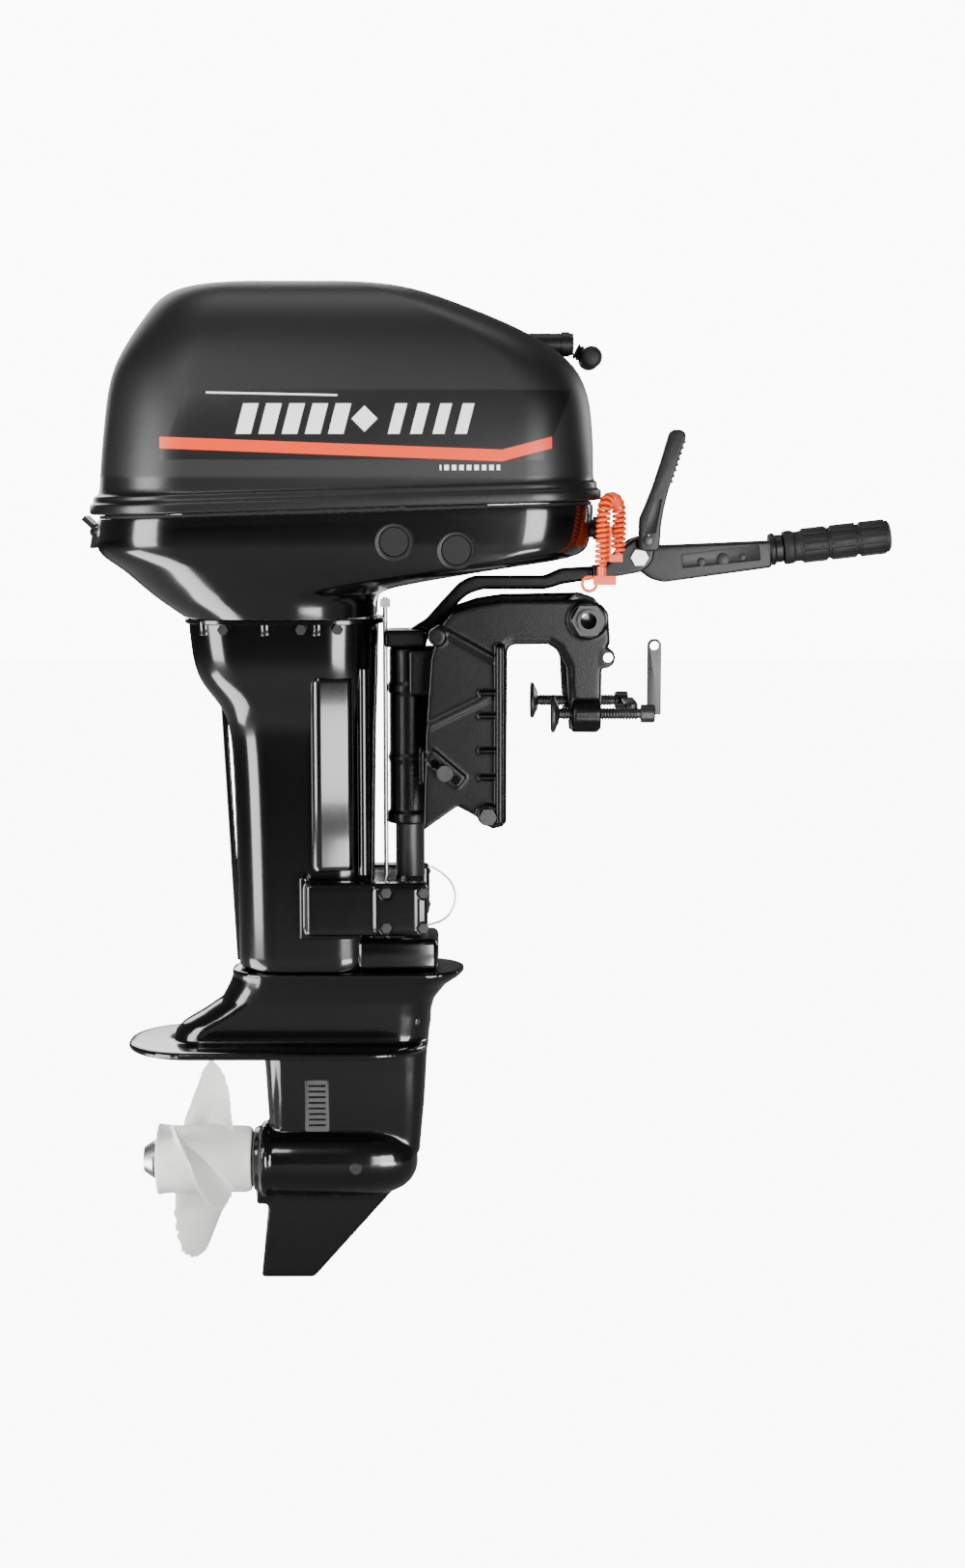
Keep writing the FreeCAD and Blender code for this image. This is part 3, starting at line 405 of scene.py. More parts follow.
class OutboardPaintwork(bpy.types.PropertyGroup):
    """Colours of the painted and moulded surfaces."""

    cowl: FloatVectorProperty(
        name="Cowl", description="Satin charcoal of the top cowl", subtype="COLOR",
        default=(0.0042, 0.0042, 0.0045),
    )
    gloss: FloatVectorProperty(
        name="Leg", description="Gloss black of the leg and bottom cowl", subtype="COLOR",
        default=(0.0008, 0.0008, 0.0009),
    )
    stripe: FloatVectorProperty(
        name="Stripe", description="Stripe along the cowl", subtype="COLOR", default=(0.74, 0.045, 0.004),
    )
    marks: FloatVectorProperty(
        name="Marks", description="Plain marks on the cowl panel", subtype="COLOR",
        default=(0.86, 0.86, 0.86),
    )
    propeller: FloatVectorProperty(
        name="Propeller", description="Coated propeller", subtype="COLOR", default=(0.76, 0.75, 0.72),
    )
    cord: FloatVectorProperty(
        name="Stop cord", description="Curly stop cord and its clip", subtype="COLOR",
        default=(0.78, 0.065, 0.002),
    )


class OutboardCowl(bpy.types.PropertyGroup):
    """Sizes of the two cowls."""

    half_width: FloatProperty(
        name="Half width", description="Half the cowl's width at the rim", default=147.0 * MM, unit="LENGTH",
    )
    wall: FloatProperty(name="Wall", description="Moulding thickness", default=3.4 * MM, unit="LENGTH")
    rim: FloatProperty(
        name="Rim height", description="Parting line over the transom", default=133.5 * MM, unit="LENGTH",
    )


class OutboardPropeller(bpy.types.PropertyGroup):
    """Sizes of the propeller."""

    radius: FloatProperty(
        name="Radius", description="Blade tip from the axis", default=113.6 * MM, unit="LENGTH",
    )
    pitch: FloatProperty(name="Pitch", description="Advance in one turn", default=250.0 * MM, unit="LENGTH")
    blades: IntProperty(name="Blades", description="Number of blades", default=3)


class OutboardCord(bpy.types.PropertyGroup):
    """Sizes of the curly stop cord."""

    wire: FloatProperty(
        name="Cord diameter", description="Diameter of the coiled cord", default=3.7 * MM, unit="LENGTH",
    )
    coil: FloatProperty(
        name="Coil radius", description="Radius of the curl to the cord's middle", default=5.6 * MM,
        unit="LENGTH",
    )
    turns: IntProperty(name="Turns", description="Turns in the curl", default=27)


def settings(name):
    """One of the property groups kept on the scene."""
    return getattr(bpy.context.scene, "outboard_" + name)


# ---------------------------------------------------------------- finishes


def cowl_finish():
    """Satin charcoal with a darker side panel, a stripe and plain slanted marks."""
    colours = settings("paintwork")
    paint = Paint("cowl_satin", Specular_IOR_Level=0.5)
    x, y, z = paint.axes()
    side = abs(y).above(0.080, 0.002)
    clouds = paint.noise(9.0, 5.0)
    fine = paint.noise(1500.0, 2.0)
    base = paint.blend(clouds, [c * 0.85 for c in colours.cowl], [c * 1.2 for c in colours.cowl])
    lean = x - 0.42 * (z - 0.21)
    panel = side * z.above(0.1765) * z.below(0.243) * lean.above(-0.318) * lean.below(0.052)
    kink = x + 0.002
    centre = 0.1805 + kink.math("MINIMUM", 0.0) * -0.0375 + kink.math("MAXIMUM", 0.0) * 0.26
    stripe = side * abs(z - centre).below(0.0056) * x.above(-0.331) * x.below(0.046)
    slant = x - 0.26 * (z - 0.2)
    band = side * z.above(0.201) * z.below(0.230)
    wide_bars = (slant + 0.258).math("FLOORED_MODULO", 0.0222).below(0.0148)
    wide = slant.above(-0.258) * slant.below(-0.152) * wide_bars
    narrow_bars = (slant + 0.112).math("FLOORED_MODULO", 0.0215).below(0.0112)
    narrow = slant.above(-0.112) * slant.below(-0.0285) * narrow_bars
    diamond = side * (abs(x + 0.134) + abs(z - 0.2155)).below(0.0125)
    rule = side * abs(z - 0.2405 + 0.02 * (x + 0.29)).below(0.0009) * x.above(-0.286) * x.below(-0.16)
    ticks = side * z.above(0.1665) * z.below(0.1715) * x.above(-0.062) * x.below(-0.004)
    ticks = ticks * x.math("FLOORED_MODULO", 0.0072).below(0.0044)
    marks = ((wide + narrow) * band + diamond + rule + ticks).clamped()
    colour = paint.blend(panel, base, [c * 0.45 for c in colours.cowl])
    colour = paint.blend(stripe, colour, colours.stripe)
    paint.feed("Base Color", paint.blend(marks, colour, colours.marks))
    print_gloss = (panel + stripe).clamped()
    low_gloss = z.below(0.160, 0.004)
    paint.feed("Roughness", 0.40 + clouds * 0.08 + fine * 0.05 - print_gloss * 0.12 - low_gloss * 0.14)
    film = (panel + stripe + marks).clamped() * 0.6
    paint.relief(fine * 0.35 + film, 0.12, 0.0003)
    return paint


def worked_metal(name, colour, roughness, metal=1.0):
    """Machined or plated metal with fine turning marks and dull spots."""
    paint = Paint(name, Metallic=metal)
    spots = paint.noise(60.0, 4.0)
    fine = paint.noise(2500.0, 1.0)
    paint.feed("Base Color", paint.blend(spots, [c * 0.72 for c in colour], colour))
    paint.feed("Roughness", spots * 0.18 + fine * 0.08 + (roughness - 0.1))
    paint.relief(fine, 0.1, 0.0002)
    return paint


def propeller_finish():
    """White coating with faint flow marks and dusty hollows."""
    colour = settings("paintwork").propeller
    paint = Paint("propeller_coat", Specular_IOR_Level=0.5)
    clouds = paint.noise(22.0, 5.0)
    specks = paint.noise(420.0, 2.0)
    dust = paint.noise(55.0, 6.0).above(0.62, 0.12) * 0.25
    base = paint.blend(clouds, [c * 0.93 for c in colour], colour)
    paint.feed("Base Color", paint.blend(dust, base, (0.42, 0.40, 0.37)))
    paint.feed("Roughness", 0.34 + clouds * 0.14 + specks * 0.05)
    paint.relief(specks, 0.10, 0.0004)
    return paint


def make_finishes():
    """Every material of the motor."""
    colours = settings("paintwork")
    gloss = list(colours.gloss)
    FINISHES["cowl"] = cowl_finish()
    FINISHES["gloss"] = surface(
        "gloss_black_paint", gloss, 0.17, 0.25, 0.06, 700.0, 0.05, Coat_Weight=0.5, Coat_Roughness=0.08,
    )
    FINISHES["casting"] = surface(
        "black_casting", [c * 2.5 for c in gloss], 0.30, 0.3, 0.12, 520.0, 0.35, Specular_IOR_Level=0.22,
    )
    FINISHES["moulding"] = surface(
        "black_moulding", (0.006, 0.006, 0.0064), 0.42, 0.2, 0.12, 1100.0, 0.25, Specular_IOR_Level=0.3,
    )
    FINISHES["grip"] = surface(
        "grip_rubber", (0.008, 0.008, 0.0084), 0.56, 0.25, 0.14, 900.0, 0.4, Specular_IOR_Level=0.3,
    )
    FINISHES["rubber"] = surface(
        "black_rubber", (0.005, 0.005, 0.005), 0.62, 0.3, 0.12, 700.0, 0.35, Specular_IOR_Level=0.25,
    )
    FINISHES["screen"] = surface("inlet_screen", (0.05, 0.05, 0.052), 0.34, 0.2, 0.1, 900.0, 0.3)
    FINISHES["orange"] = surface("orange_moulding", list(colours.cord), 0.36, 0.12, 0.1, 900.0, 0.15)
    FINISHES["steel"] = worked_metal("plated_steel", (0.60, 0.60, 0.59), 0.30)
    FINISHES["dark_steel"] = worked_metal("dark_steel", (0.05, 0.05, 0.052), 0.36, 0.8)
    FINISHES["aluminium"] = worked_metal("cast_aluminium", (0.52, 0.53, 0.54), 0.44)
    FINISHES["iron"] = worked_metal("machined_iron", (0.20, 0.20, 0.21), 0.40)
    FINISHES["propeller"] = propeller_finish()


CARRIED = {
    "steel": (
        "tiller_bolt", "earth_lead", "prop_shaft", "prop_nut", "drive_shaft", "spark_plugs", "shift_rod",
    ),
    "iron": (
        "pinion_gear", "forward_gear", "reverse_gear", "clutch_dog", "crankshaft", "connecting_rods",
        "flywheel",
    ),
    "aluminium": ("engine_block", "cylinder_head", "pistons", "carburetor", "prop_shaft_carrier"),
    "moulding": (
        "pivot_bushes", "water_pump_housing", "ignition_unit", "starter_housing", "starter_reel",
        "cowl_latch",
        "stop_switch", "fuel_connector", "lower_mount_covers", "tiller_arm", "shift_lever",
    ),
    "rubber": ("rubber_mounts", "cowl_seal", "cowl_plugs", "pump_impeller"),
    "screen": ("inlet_screens",),
    "orange": ("stop_button", "lanyard_clip", "kill_cord"),
    "casting": ("clamp_bracket_starboard", "clamp_bracket_port", "swivel_bracket", "steering_bracket"),
    "dark_steel": (
        "clamp_pad_starboard", "clamp_pad_port", "clamp_screw_starboard", "clamp_screw_port",
        "clamp_handle_starboard", "clamp_handle_port", "tilt_tube", "tilt_tube_nuts", "bracket_tie_bolt",
        "tilt_pin", "housing_bolts",
    ),
    "grip": ("throttle_grip", "starter_handle"),
    "gloss": ("exhaust_housing", "gearcase", "bottom_cowl"),
    "cowl": ("top_cowl",),
    "propeller": ("propeller",),
}


class OUTBOARD_OT_finishes(bpy.types.Operator):
    """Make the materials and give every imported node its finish"""

    bl_idname = "outboard.finishes"
    bl_label = "Finishes"

    def execute(self, context):
        make_finishes()
        for name, nodes in CARRIED.items():
            for node in nodes:
                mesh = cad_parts[node].data
                mesh.materials.clear()
                mesh.materials.append(finish(name))
        return {"FINISHED"}


# ---------------------------------------------------------------- stage and cords


# Half the camera's sensor in millimetres, and half the height it sees at the motor in metres.
HALF_SENSOR = 18.0
HALF_VIEW = 0.8125

# Name, place, the point it is aimed at, size and power of each lamp.
LAMPS = (
    ("front", (-1.1, -2.4, 1.5), (-0.15, 0, 0.05), (0.9, 0.5), 18),
    ("tall_left", (-1.75, -1.15, -0.2), (-0.25, 0, -0.2), (0.95, 1.5), 74),
    ("soft_right", (0.80, -2.0, -0.2), (-0.17, 0, -0.2), (1.1, 1.0), 66),
    ("belly", (-0.98, -0.26, -0.675), (-0.98, -0.26, 0.4), (0.9, 0.5), 20),
    ("bow", (0.30, -0.75, -0.65), (0.0, -0.1, 0.1), (0.5, 0.24), 8),
    ("top", (-0.1, 0.1, 1.9), (-0.1, 0, 0.2), (1.6, 1.0), 12),
    ("rear", (-0.9, 2.2, 0.9), (-0.1, 0, 0), (1.6, 1.6), 42),
    ("rear_right", (1.7, 1.5, 0.3), (0, 0, -0.1), (0.6, 1.4), 24),
)


class OUTBOARD_OT_stage(bpy.types.Operator):
    """Camera, soft lights and a plain pale floor"""

    bl_idname = "outboard.stage"
    bl_label = "Stage"

    def light(self, name, at, aim, size, power):
        """A soft rectangular lamp."""
        lamp = bpy.data.lights.new(name, "AREA")
        lamp.shape = "RECTANGLE"
        lamp.size, lamp.size_y = size
        lamp.energy = power
        made = bpy.data.objects.new(name, lamp)
        made.location = at
        made.rotation_euler = (Vector(aim) - Vector(at)).to_track_quat("-Z", "Y").to_euler()
        made.visible_camera = False
        bpy.context.scene.collection.objects.link(made)

    def execute(self, context):
        camera = bpy.data.objects.new("camera", bpy.data.cameras.new("camera"))
        bpy.context.scene.collection.objects.link(camera)
        eye = Vector((-0.035, -2.5, 0.157))
        aim = Vector((-0.020, 0.0, -0.1555))
        camera.location = eye
        camera.rotation_euler = (aim - eye).to_track_quat("-Z", "Y").to_euler()
        camera.data.lens = HALF_SENSOR * (aim - eye).length / HALF_VIEW
        bpy.context.scene.camera = camera

        for lamp in LAMPS:
            self.light(*lamp)

        world = bpy.data.worlds.new("studio")
        world.use_nodes = True
        sky = Graph(world.node_tree)
        background = sky.tree.nodes["Background"]
        background.inputs["Color"].default_value = (1.0, 1.0, 1.0, 1.0)
        strength = sky.seen_directly() * (SKY_SEEN - SKY_LIGHT) + SKY_LIGHT
        sky.tree.links.new(strength.socket, background.inputs["Strength"])
        bpy.context.scene.world = world

        floor = bmesh.new()
        matrix = Matrix.Translation((0, 0, FLOOR_Z))
        bmesh.ops.create_grid(floor, x_segments=1, y_segments=1, size=9000.0, matrix=matrix)
        made = mesh_object("floor", floor)
        paint = Paint("pale_floor", Base_Color=(0.20, 0.20, 0.20, 1.0), Roughness=0.9)
        paint.glow_seen(FLOOR_SEEN)
        made.data.materials.append(paint.material)
        return {"FINISHED"}


STOP_CORD_ROUTE = (
    (0.113, -0.092, 0.086), (0.115, -0.091, 0.110), (0.113, -0.093, 0.139),
    (0.098, -0.113, 0.138), (0.097, -0.115, 0.106), (0.096, -0.113, 0.0732),
)
EARTH_LEAD_ROUTE = (
    (-0.073, -0.062, -0.232), (-0.058, -0.070, -0.238), (-0.047, -0.076, -0.255),
    (-0.050, -0.078, -0.274), (-0.062, -0.076, -0.287), (-0.076, -0.0736, -0.290),
)


def spline_curve(name, points):
    """A smooth curve with the points as its control points."""
    curve = bpy.data.curves.new(name, "CURVE")
    curve.dimensions = "3D"
    curve.resolution_u = 12
    curve.bevel_resolution = 4
    curve.use_fill_caps = True
    spline = curve.splines.new("NURBS")
    spline.points.add(len(points) - 1)
    for control, point in zip(spline.points, points):
        control.co = (*point, 1.0)
    spline.order_u = 3
    spline.use_endpoint_u = True
    made = bpy.data.objects.new(name, curve)
    bpy.context.scene.collection.objects.link(made)
    return made


def line_points(line):
    """The points of a curve's smooth line."""
    bpy.context.view_layer.update()
    mesh = bpy.data.meshes.new_from_object(line.evaluated_get(bpy.context.evaluated_depsgraph_get()))
    return [vert.co.copy() for vert in mesh.vertices]


def walked(points, count):
    """Points evenly spaced along a line of points."""
    lengths = [0.0]
    for a, b in zip(points, points[1:]):
        lengths.append(lengths[-1] + (b - a).length)
    spaced = []
    index = 0
    for i in range(count):
        goal = lengths[-1] * i / (count - 1)
        while index < len(points) - 2 and lengths[index + 1] < goal:
            index += 1
        share = (goal - lengths[index]) / max(1e-9, lengths[index + 1] - lengths[index])
        spaced.append(points[index].lerp(points[index + 1], share))
    return spaced


def curled(route, coil, turns, per_turn=14):
    """A helix round the smooth line of a route, with short straight ends."""
    line = spline_curve("route", route)
    middle = line_points(line)
    bpy.data.objects.remove(line)
    spaced = walked(middle, turns * per_turn + 1)
    side = Vector((0.0, 1.0, 0.0))
    helix = []
    for i, point in enumerate(spaced):
        ahead = (spaced[min(i + 1, len(spaced) - 1)] - spaced[max(i - 1, 0)]).normalized()
        side = (side - ahead * side.dot(ahead)).normalized()
        across = ahead.cross(side)
        share = i / (len(spaced) - 1)
        open_up = min(1.0, share * turns * 1.2, (1.0 - share) * turns * 1.2)
        angle = math.tau * share * turns
        helix.append(point + (side * math.cos(angle) + across * math.sin(angle)) * coil * open_up)
    return helix


def path_length(points):
    """The length of a line of points."""
    return sum((b - a).length for a, b in zip(points, points[1:]))


def cord_tube(name, points, thickness, steps):
    """A round tube on the smooth line of the points, the line's own points and its length."""
    line = spline_curve(name + "_line", points)
    line.data.resolution_u = steps
    path = line_points(line)
    line.data.bevel_depth = thickness / 2
    bpy.context.view_layer.update()
    mesh = bpy.data.meshes.new_from_object(line.evaluated_get(bpy.context.evaluated_depsgraph_get()))
    bpy.data.objects.remove(line)
    made = bpy.data.objects.new(name, mesh)
    bpy.context.scene.collection.objects.link(made)
    return made, path, path_length(path)


class OUTBOARD_OT_cords(bpy.types.Operator):
    """The curly stop cord and the thin earth lead"""

    bl_idname = "outboard.cords"
    bl_label = "Cords"

    def execute(self, context):
        sizes = settings("cord")
        points = curled(STOP_CORD_ROUTE, sizes.coil, sizes.turns)
        cord, path, length = cord_tube("stop_cord", points, sizes.wire, 2)
        dress(cord, "orange", "drive", "kill_cord")
        lead, path, length = cord_tube("earth_wire", EARTH_LEAD_ROUTE, EARTH_WIRE, 12)
        dress(lead, "steel", "drive", "earth_lead")
        return {"FINISHED"}


# ---------------------------------------------------------------- cowls


class OUTBOARD_OT_cowls(bpy.types.Operator):
    """The satin top cowl with its rim band, and the gloss bottom cowl"""

    bl_idname = "outboard.cowls"
    bl_label = "Cowls"

    def execute(self, context):
        sizes = settings("cowl")
        half = sizes.half_width / MM
        rim = sizes.rim / MM
        wall = sizes.wall
        self.top(half, rim, wall)
        self.bottom(half, rim, wall)
        return {"FINISHED"}

    def top(self, half, rim, wall):
        """The satin cowl: rim band, flowing sides and crown, with the starter's opening."""
        bm = bmesh.new()
        band = (
            (-404.5, 89.5, half, rim + 0.9), (-411.4, 96.4, half + 3.5, rim + 1.4),
            (-412.1, 97.0, half + 4.0, rim + 3.5),
            (-411.9, 96.9, half + 3.9, rim + 10.5), (-411.0, 96.0, half + 3.2, rim + 12.0),
            (-408.4, 92.6, half + 1.2, rim + 12.6),
            (-408.8, 93.0, half + 1.5, rim + 18.4), (-407.6, 92.0, half + 0.8, rim + 19.6),
            (-403.0, 89.6, half - 0.2, rim + 20.4),
        )
        rings = [rounded_ring(bm, rear, front, wide, 98, 72, z, RIM_TILT) for rear, front, wide, z in band]
        body = (
            (-401.6, 89, half - 0.2, 96, 70, 163, 1.2), (-399.8, 89, half - 0.6, 96, 70, 184, 0.4),
            (-397, 88, half - 2.0, 95, 70, 206, 0),
            (-394.5, 86, half - 4.6, 94, 68, 231, 0), (-391, 80, half - 8.4, 92, 67, 252, 0),
            (-386, 70, half - 12, 90, 66, 269, 0),
            (-378.4, 53, half - 16, 88, 65, 284, 0), (-370, 30, half - 21, 86, 63, 298, 0),
            (-362, 6, half - 27, 83, 61, 310, 0),
            (-354.4, -20, half - 34, 79, 58, 321, 0), (-347, -45, half - 43, 74, 55, 331, 0),
            (-339, -66, half - 53, 69, 51, 339, 0),
            (-328, -86, half - 66, 60, 46, 345.4, 0), (-312, -106, half - 82, 48, 40, 350.2, 0),
            (-290, -128, half - 99, 36, 32, 353.2, 0),
            (-262, -156, half - 118, 22, 22, 354.6, 0), (-238, -184, half - 134, 10, 10, 355.0, 0),
        )
        rings += [rounded_ring(bm, *ring) for ring in body]
        skin(bm, rings, (False, True))
        shell = mesh_object("cowl_shell", bm)
        settle(shell, SMOOTHED, ("SOLIDIFY", {"thickness": wall, "offset": -1.0, "use_even_offset": False}))
        hole = bmesh.new()
        block(hole, (4, -40, 259), (125, 40, 312), 9.0, 4)
        carve(shell, hole)
        dress(shell, "cowl", "cowl", "top_cowl", angle=35.0)

    def bottom(self, half, rim, wall):
        """The gloss cowl that narrows to the leg, with its holes and porthole rings."""
        bm = bmesh.new()
        body = (
            (-403.5, 88.6, half - 0.3, 96, 70, rim - 3.2, RIM_TILT),
            (-404.2, 89, half, 96, 70, rim - 6.0, RIM_TILT),
            (-404.6, 89, half, 96, 70, rim - 14.0, RIM_TILT), (-405.6, 87.6, half - 0.8, 96, 70, 108, 0.6),
            (-407.2, 85.2, half - 2.2, 96, 70, 95.5, 0),
            (-405, 82, half - 4, 95, 69, 87, 0), (-399, 68, half - 7, 94, 70, 80, 0),
            (-391, 34, half - 9, 93, 74, 74.5, 0),
            (-380, -14, half - 13, 92, 82, 67, 0), (-371, -62, half - 18, 90, 86, 58.5, 0),
            (-363, -104, half - 22, 89, 88, 51, 0),
            (-356, -124, half - 25, 88, 89, 45, 0), (-345, -128.4, half - 28.5, 85, 89, 36, 0),
            (-333, -128.6, half - 31.5, 82, 88, 28, 0),
            (-323, -128.6, half - 34.5, 80, 88, 20.8, 0),
        )
        rings = [rounded_ring(bm, *ring) for ring in body]
        skin(bm, rings, (False, False))
        shell = mesh_object("belly_shell", bm)
        settle(shell, SMOOTHED, ("SOLIDIFY", {"thickness": wall, "offset": -1.0, "use_even_offset": False}))
        tools = bmesh.new()
        for x, z in PORTHOLES:
            bar(tools, 14.0, 26, (x, -160, z), (0, 1, 0), sides=48)
        bar(tools, 7.0, 34, (66, -59, 107), (1, 0, 0), sides=32)
        bar(tools, 9.0, 34, (66, 62, 107), (1, 0, 0), sides=32)
        bar(tools, 9.5, 60, (-120, 0, 14), (0, 0, 1), sides=32)
        carve(shell, tools)
        dress(shell, "gloss", "drive", "bottom_cowl", angle=35.0)

        trim = bmesh.new()
        ring = (
            (14.2, 0), (17.4, 0), (18.6, 1.2), (18.6, 2.6), (17.2, 3.6), (15.0, 3.2), (14.2, 2.2), (14.2, 0),
        )
        plug = (
            (0, 3.2), (5.5, 3.2), (6.3, 2.4), (6.3, 0.6), (10.6, 0.4), (11.6, 1.6), (12.6, 1.6), (13.4, 0.4),
            (13.4, -3.0),
            (0, -3.0),
        )
        for profile, y in ((ring, -144.6), (plug, -143.2)):
            for x, z in PORTHOLES:
                lathe(trim, profile, (x, y, z), (0, -1, 0))
        made = mesh_object("porthole_trim", trim)
        dress(made, "moulding", "drive")


# ---------------------------------------------------------------- leg


class OUTBOARD_OT_leg(bpy.types.Operator):
    """Exhaust housing with its flange and side column, and the lower mount covers"""

    bl_idname = "outboard.leg"
    bl_label = "Leg"

    def housing(self):
        """The tapering housing with its top flange, side pads, ribs and bolt bosses."""
        bm = bmesh.new()
        body = (
            (-320, -127, 64, 50, 50, 18.0), (-320, -127, 64, 50, 50, 17.0), (-319.5, -127, 63.8, 50, 50, 9),
            (-318.2, -127.5, 63.2, 50, 50, -8),
            (-315, -128, 61.5, 50, 50, -32), (-308, -128.4, 58, 48, 47, -49), (-296, -129, 53, 45, 43, -64),
            (-286.5, -129.4, 48.5, 42, 40, -77),
            (-281, -130, 46.2, 40, 38, -92), (-278, -130.4, 45, 40, 38, -115),
            (-276, -131, 44.6, 40, 38, -165), (-274.4, -132, 44.2, 40, 38, -240),
            (-273.4, -132.5, 44, 40, 38, -320), (-273, -133, 44, 40, 38, -345),
            (-273, -133, 44, 40, 38, -346),
        )
        skin(bm, [rounded_ring(bm, *ring) for ring in body])
        shell = mesh_object("leg_shell", bm)
        settle(shell, SMOOTHED)
        dress(shell, "gloss", "drive", "exhaust_housing", angle=45.0)

        extra = bmesh.new()
        lip = (
            (-322, -122, 66, 51, 51, 12.6), (-323.4, -121, 67.2, 52, 52, 13.6),
            (-323.4, -121, 67.2, 52, 52, 17.0), (-322.2, -122, 66.4, 51, 51, 18.0),
        )
        skin(extra, [rounded_ring(extra, *ring) for ring in lip])
        for side in (-1, 1):
            self.column(extra, side)
            slab(
                extra, ((-290, -66), (-284, -66), (-270, -340), (-276, -340)), side * 1.6 - 1.6,
                side * 1.6 + 1.6, 1.0,
            )
        block(extra, (-150, -38, -346), (-66, 38, -312), 7.0, 4)
        block(extra, (-187, -50, -300), (-103, 50, -250), 3.0, 3)
        for x, y in ((-300, 50), (-238, 59.5), (-186, 59.5)):
            for side in (-1, 1):
                bar(extra, 6.0, 14, (x, side * y, 2), (0, 0, 1), end_radius=7.5, bevel=0.8)
        made = mesh_object("leg_features", extra)
        dress(made, "gloss", "drive", angle=35.0)

    def column(self, bm, side):
        """The raised pad over the water passage, its face turned a little forward."""
        before = set(bm.verts)
        rings = []
        for grow, z in ((-5.0, -238), (-1.6, -236.6), (0, -232), (0, -46), (-1.6, -41.4), (-5.0, -40)):
            rings.append(rounded_ring(bm, -195 - grow, -151 + grow, 14 + grow, 9.5 + grow, 9.5 + grow, z))
        skin(bm, rings)
        grown = [vert for vert in bm.verts if vert not in before]
        turned = Matrix.Rotation(math.radians(-10 * side), 3, "Z")
        bmesh.ops.rotate(bm, verts=grown, cent=(-173, 0, 0), matrix=turned)
        bmesh.ops.translate(bm, verts=grown, vec=(0, side * 47, 0))
        lathe(
            bm, ((0, 0), (5.0, 0), (5.8, 1.0), (5.8, 211), (5.0, 212), (0, 212)), (-141.5, side * 43.2, -244),
            (0, 0, 1), steps=32,
        )

    def covers(self):
        """The covers over the lower rubber mounts, with their sunk screw seats."""
        bm = bmesh.new()
        for side in (-1, 1):
            side_block(bm, side, (-200, 50.3, -303), (-76, 72.3, -248), 5.0, 4)
            side_block(bm, side, (-131, 50.3, -300), (-84, 74.6, -251), 4.0)
            side_block(bm, side, (-207, 45.0, -308), (-198, 60.3, -243), 2.2)
            side_block(bm, side, (-207, 45.0, -308), (-150, 60.3, -303), 1.8)
        made = mesh_object("mount_covers", bm)
        cast(made, 1.5, 3, 0.5)
        tools = bmesh.new()
        for side in (-1, 1):
            for x in (-118, -80):
                for z in (-258, -294):
                    bar(tools, 7.6, 12, (x, side * 70.0, z), (0, side, 0), sides=40)
        carve(made, tools)
        dress(made, "gloss", "drive", "lower_mount_covers", angle=38.0)

    def execute(self, context):
        self.housing()
        self.covers()
        return {"FINISHED"}


